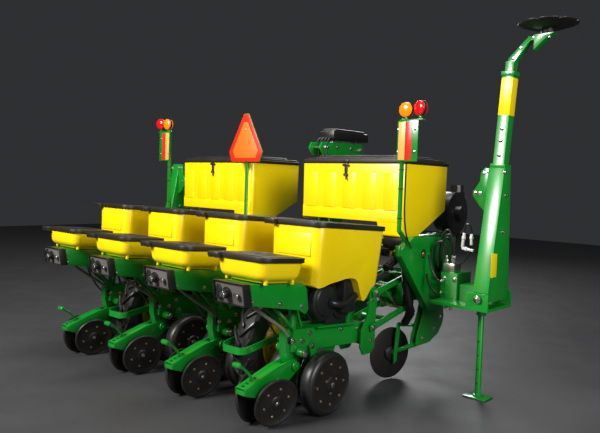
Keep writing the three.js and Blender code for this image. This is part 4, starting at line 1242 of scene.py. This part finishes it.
def rockshaft():
    piece = Piece()
    bar(piece, (-1.06, SHAFT_Y, SHAFT_Z), (1.06, SHAFT_Y, SHAFT_Z), 0.028, GREEN, 36, 0.003)
    for s in (-1, 1):
        x = s * WHEEL_ARM_X
        arm = [(SHAFT_Y + 0.040, SHAFT_Z - 0.030), (SHAFT_Y + 0.030, SHAFT_Z + 0.042),
               (SHAFT_Y - 0.050, SHAFT_Z + 0.042),
               (0.420, 0.407), (0.396, 0.375), (0.398, 0.335), (0.440, 0.318), (0.480, 0.322)]
        plate(piece, arm, "X", x - 0.008, x + 0.008, GREEN, 0.003)
        bar(piece, (s * 0.60, SHAFT_Y, SHAFT_Z), (s * 0.612, SHAFT_Y, SHAFT_Z), 0.038, GREEN, 28)
        bar(piece, (s * 0.792, SHAFT_Y, SHAFT_Z), (s * 0.826, SHAFT_Y, SHAFT_Z), 0.046, GREEN, 28, 0.003)
        bar(piece, (s * 0.670, 0.440, 0.362), (s * 0.824, 0.440, 0.362), 0.020, STEEL, 24)
        bar(piece, (s * 0.792, 0.440, 0.362), (s * 0.826, 0.440, 0.362), 0.038, GREEN, 28, 0.003)
        bolt(piece, (s * 0.826, 0.440, 0.362), (s, 0, 0), 0.020, STEEL, 0.012)
        path = guard_path(s * 0.805, s * 0.587, 0.430, 0.020, 0.062)
        path = path[:-1] + [(s * 0.587, 0.330)]
        strap(piece, path, lambda y: 0.382 + 0.15 * max(0.0, y - 0.03), 0.046, 0.007, GREEN)
        for y in (0.345, 0.385):
            bolt(piece, (s * 0.822, y, 0.395 + 0.12 * (y - 0.03)), (s, 0, 0), 0.010, STEEL)
        block(piece, (min(s * 0.808, s * 0.822), 0.33, 0.405), (max(s * 0.808, s * 0.822), 0.41, 0.440),
              GREEN, 0.003)
    return piece.place("rockshaft_dressed", "rockshaft", MACHINE, "green_paint", ["wheel_rockshaft"])


# %% Transport wheels
TYRE_R, TYRE_W, RIM_R = 0.362, 0.180, 0.195


def transport_wheel(side, s):
    piece = Piece()
    centre = Vector((s * 0.7, 0.44, 0.362))
    where = Matrix.Translation(centre)
    w = TYRE_W / 2
    carcass = [(RIM_R - 0.002, -w + 0.022), (RIM_R + 0.012, -w + 0.010), (0.245, -w + 0.001),
               (0.290, -w + 0.003),
               (0.322, -w + 0.014), (0.338, -w + 0.034), (0.342, 0), (0.338, w - 0.034), (0.322, w - 0.014),
               (0.290, w - 0.003), (0.245, w - 0.001), (RIM_R + 0.012, w - 0.010), (RIM_R - 0.002, w - 0.022)]
    turned(piece, carcass + carcass[:1], TYRE, where, 72)
    lugs = 17
    for k in range(lugs):
        for hand in (-1, 1):
            start = math.tau * (k + (0.5 if hand > 0 else 0)) / lugs
            lug = bmesh.new()
            ribs = []
            for t in (0.0, 0.2, 0.4, 0.6, 0.8, 1.0, 1.12):
                x = hand * (-0.006 + 0.088 * min(t, 1.0) + 0.004 * max(0.0, t - 1) / 0.12)
                turn = start - 0.30 * (min(t, 1.0) ** 1.15) - 0.02 * max(0.0, t - 1)
                crown = 0.3615 - 0.012 * (abs(x) / 0.09) ** 3 if t <= 1.0 else 0.318
                foot = 0.338 if t <= 0.6 else (0.325 if t <= 1.0 else 0.300)
                half = 0.011 + 0.004 * min(t, 1.0)
                ribs.append([lug.verts.new(Matrix.Rotation(turn + dx, 3, "X") @ Vector((x, 0, r)))
                             for dx, r in ((-(half + 0.006) / 0.34, foot), (-half / 0.36, crown),
                                           (half / 0.36, crown),
                                           ((half + 0.006) / 0.34, foot))])
            for a, b in zip(ribs, ribs[1:]):
                for j in range(4):
                    lug.faces.new((a[j], a[(j + 1) % 4], b[(j + 1) % 4], b[j]))
            lug.faces.new(ribs[0])
            lug.faces.new(ribs[-1][::-1])
            bmesh.ops.recalc_face_normals(lug, faces=lug.faces)
            break_edges(lug, 0.003, 35)
            bmesh.ops.transform(lug, matrix=where, verts=lug.verts)
            piece.take(lug, TYRE)
    rim = [(0.060, 0.030), (0.110, 0.034), (0.150, 0.012), (0.172, 0.020), (0.180, 0.066), (0.196, 0.074),
           (0.202, 0.071), (0.197, 0.060), (0.187, -0.055), (0.198, -0.064), (0.200, -0.073), (0.190, -0.074),
           (0.176, -0.060), (0.165, 0.004), (0.148, -0.002), (0.108, 0.020), (0.060, 0.016)]
    turned(piece, [(r, s * x) for r, x in rim + rim[:1]], YELLOW_PAINT, where, 56)
    hub = [(0, -0.040), (0.052, -0.040), (0.060, 0.002), (0.064, 0.004), (0.064, 0.036), (0.045, 0.040),
           (0.040, 0.062),
           (0, 0.066)]
    turned(piece, [(r, s * x) for r, x in hub], YELLOW_PAINT, where, 40)
    ring_bolts(piece, centre, 0.088, 6, s * 0.033, s, 0.010, STEEL, 0.2, 0.010)
    ring_bolts(piece, centre, 0.088, 6, s * 0.018, -s, 0.009, STEEL, 0.2, 0.010)
    bar(piece, centre + Vector((s * 0.04, 0.16, 0.075)), centre + Vector((s * 0.075, 0.148, 0.07)), 0.004,
        BLACK, 10)
    return piece.place(f"transport_wheel_{side}_dressed", f"tyre_{side}", MACHINE, "tyre_rubber",
                       [f"transport_wheel_{side}"])


rockshaft()
transport_wheel("left", -1)
transport_wheel("right", 1)
print("wheels")

# %% [markdown]
# ## Row markers and parking stands
# Only the right-hand marker carries its disc here. The lower arm is a tapered box on a long hinge
# pin; a leaning square tube holds the sliding outer arm, and the notched disc tops it, parked on
# edge above the machine. Beside the hinge stand the valve, its bright fittings and the hoses.

# %% Markers
LEAN = math.radians(3.5)
MARKER_X, MARKER_Y, MARKER_PIVOT, MARKER_TOP = 1.798, 1.450, 0.735, 1.620


def marker_arm(side, s):
    piece = Piece()
    from_frame(piece, f"marker_arm_{side}", GREEN, 0.003)
    local = Piece()
    x = MARKER_X
    for y in (MARKER_Y - 0.246, MARKER_Y + 0.137):
        out = -1 if y < MARKER_Y else 1
        bar(local, (s * x, y, MARKER_PIVOT), (s * x, y + out * 0.010, MARKER_PIVOT), 0.026, STEEL, 24)
        bolt(local, (s * x, y + out * 0.010, MARKER_PIVOT), (0, out, 0), 0.014)
    for hand in (-1, 1):
        face = s * x + hand * 0.054
        for y, z in ((1.400, 1.585), (1.440, 1.430), (1.420, 1.180)):
            bolt(local, (face, y, z), (hand, 0, 0), 0.011, STEEL, 0.014)
    low, high = sorted((s * (x + 0.054), s * (x + 0.0555)))
    plate(local, [(1.268, 1.045), (1.352, 1.036), (1.352, 0.880), (1.268, 0.880)], "X", low, high, TAPE,
          0.0005)
    for z in (1.585, 1.47):
        bar(local, (s * (x + 0.02), 1.49, z), (s * (x + 0.02), 1.515, z), 0.012, STEEL, 16)
    plate(local, [(s * (x - 0.054), 1.612), (s * (x - 0.090), 1.612), (s * (x - 0.115), 1.585),
                  (s * (x - 0.120), 1.52),
                  (s * (x - 0.150), 1.475), (s * (x - 0.170), 1.450), (s * (x - 0.172), 1.425),
                  (s * (x - 0.155), 1.400),
                  (s * (x - 0.115), 1.350), (s * (x - 0.085), 1.320), (s * (x - 0.054), 1.320)], "Y",
          MARKER_Y - 0.052,
          MARKER_Y - 0.040, GREEN, 0.004)
    for dx, z in ((0.092, 1.575), (0.148, 1.437), (0.115, 1.437)):
        bolt(local, (s * (x - dx), MARKER_Y - 0.052, z), (0, -1, 0), 0.010)
        bolt(local, (s * (x - dx), MARKER_Y - 0.040, z), (0, 1, 0), 0.010)
    if s > 0:
        lean = Matrix.Translation((x, MARKER_Y + 0.002, MARKER_TOP)) @ Matrix.Rotation(LEAN, 4, "Y")
        for a, b, look, half in ((0.350, 0.600, TAPE, 0.0402), (0.615, 0.642, GREEN, 0.046),
                                 (-0.004, 0.02, GREEN, 0.052)):
            slab(local, lean @ Matrix.Translation((0, 0, (a + b) / 2)), (2 * half, 2 * half, b - a), look,
                 0.001)
        for z in (0.08, 0.18, 0.26):
            bolt(local, lean @ Vector((0, -0.039, z)), (0, -1, 0), 0.010)
            bolt(local, lean @ Vector((-0.039, 0, z)), (-1, 0, 0), 0.008)
    join(piece, local, MACHINE)
    return piece.place(f"marker_arm_{side}_dressed", f"marker_{side}", slot="green_paint",
                       replaces=[f"marker_arm_{side}"])


def marker_slide():
    piece = Piece()
    from_frame(piece, "marker_slide", GREEN, 0.002)
    local = Piece()
    top = Vector((MARKER_X + 0.705 * math.sin(LEAN), MARKER_Y, MARKER_TOP + 0.705 * math.cos(LEAN)))
    for dx, dz in ((0.0, -0.03), (0.02, 0.02), (0.07, 0.085), (0.155, 0.142), (0.19, 0.110)):
        for y, out in ((-0.022, -1), (0.030, 1)):
            bolt(local, top + Vector((dx, y, dz)), (0, out, 0), 0.008)
    bar(local, top + Vector((0.236, 0, 0.132)), top + Vector((0.236, 0, 0.160)), 0.024, STEEL, 24)
    join(piece, local, MACHINE)
    return piece.place("marker_slide_dressed", "marker_outer", slot="green_paint", replaces=["marker_slide"])


def marker_disc():
    piece = Piece()
    from_frame(piece, "marker_disc", DISC, 0.001, 40)
    local = Piece()
    hub = Vector((MARKER_X + 0.705 * math.sin(LEAN) + 0.236, MARKER_Y,
                  MARKER_TOP + 0.705 * math.cos(LEAN) + 0.164))
    for k in range(5):
        angle = math.tau * k / 5
        bolt(local, hub + Vector((0.07 * math.cos(angle), 0.07 * math.sin(angle), 0.034)), (0, 0, 1), 0.008,
             ZINC, 0.008)
    bar(local, hub + Vector((0, 0, 0.043)), hub + Vector((0, 0, 0.052)), 0.018, STEEL, 20)
    join(piece, local, MACHINE)
    return piece.place("marker_disc_dressed", "disc", slot="disc_steel", replaces=["marker_disc"])


def marker_hydraulics(side, s):
    """The valve, bright fittings and looped hoses inboard of the marker's hinge."""
    piece = Piece()
    block(piece, (min(s * 1.44, s * 1.53), 1.37, 0.866), (max(s * 1.44, s * 1.53), 1.47, 0.93), STEEL, 0.006)
    for k, (dx, dy) in enumerate(((1.455, 1.39), (1.485, 1.42), (1.515, 1.39), (1.47, 1.45))):
        bar(piece, (s * dx, dy, 0.92), (s * dx, dy, 0.955), 0.012, STEEL, 6)
        bar(piece, (s * dx, dy, 0.955), (s * dx, dy, 0.985), 0.009, STEEL, 16)
        hose(piece, [(s * dx, dy, 0.98), (s * dx, dy - 0.02, 1.08 + 0.03 * k),
                     (s * (dx - 0.06), dy - 0.03, 1.10 + 0.03 * k),
                     (s * (dx - 0.11), dy - 0.02, 1.00), (s * (dx - 0.12), dy + 0.05, 0.88),
                     (s * (1.33 - 0.01 * k), 1.54, 0.80)], 0.0085, BLACK)
    for pts in (((1.563, 1.43, 1.152), (1.552, 1.43, 1.050)), ((1.550, 1.43, 1.042), (1.640, 1.43, 1.032)),
                ((1.619, 1.43, 1.148), (1.623, 1.43, 1.070))):
        p, q = ((s * u, v, w) for u, v, w in pts)
        bar(piece, p, q, 0.011, WHITE, 20)
        bar(piece, Vector(p).lerp(q, 0.25), Vector(p).lerp(q, 0.45), 0.016, WHITE, 6)
    hose(piece, [(s * 1.563, 1.43, 1.150), (s * 1.566, 1.42, 1.205), (s * 1.592, 1.42, 1.230),
                 (s * 1.616, 1.425, 1.205),
                 (s * 1.619, 1.43, 1.145)], 0.007, BLACK)
    hose(piece, [(s * 1.62, 1.43, 1.05), (s * 1.60, 1.44, 0.97), (s * 1.54, 1.44, 0.93)], 0.007, BLACK)
    for z in (0.80, 0.72, 0.66):
        bar(piece, (s * 1.450, 1.350, z), (s * 1.450, 1.328, z), 0.012, STEEL, 6)
        bar(piece, (s * 1.450, 1.330, z), (s * 1.450, 1.312, z), 0.009, STEEL, 16)
    hose(piece, [(s * 1.45, 1.315, 0.80), (s * 1.44, 1.27, 0.81), (s * 1.40, 1.26, 0.90),
                 (s * 1.36, 1.30, 0.98)], 0.0085,
         BLACK)
    hose(piece, [(s * 1.45, 1.315, 0.72), (s * 1.45, 1.26, 0.71), (s * 1.40, 1.24, 0.76),
                 (s * 1.35, 1.30, 0.84)], 0.0085,
         BLACK)
    for x in (1.46, 1.54):
        for z in (0.66, 0.82):
            bolt(piece, (s * x, 1.360, z), (0, -1, 0), 0.013, STEEL, 0.012)
    for dx in (1.47, 1.52):
        bar(piece, (s * dx, 1.355, 0.60), (s * dx, 1.355, 0.64), 0.009, STEEL, 16)
    return piece.place(f"marker_hydraulics_{side}", "machine", MACHINE, "lid_plastic")


STAND_X = 1.712
STAND_Y = sum(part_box("stand_right")[k][1] for k in (0, 1)) / 2 - stern


def parking_stand(side, s):
    piece = Piece()
    from_frame(piece, f"stand_{side}", GREEN, 0.002)
    local = Piece()
    for z in (0.10, 0.20, 0.30, 0.40):
        bar(local, (s * STAND_X, STAND_Y - 0.0225, z), (s * STAND_X, STAND_Y + 0.0225, z), 0.007, BLACK, 14)
    bar(local, (s * STAND_X, STAND_Y, 0.009), (s * STAND_X, STAND_Y, 0.022), 0.034, GREEN, 20)
    join(piece, local, MACHINE)
    return piece.place(f"stand_{side}_dressed", f"{side}_stand", slot="green_paint",
                       replaces=[f"stand_{side}"])


for marker_side, marker_sign in (("left", -1), ("right", 1)):
    marker_arm(marker_side, marker_sign)
    marker_hydraulics(marker_side, marker_sign)
    parking_stand(marker_side, marker_sign)
marker_slide()
marker_disc()
print("markers")
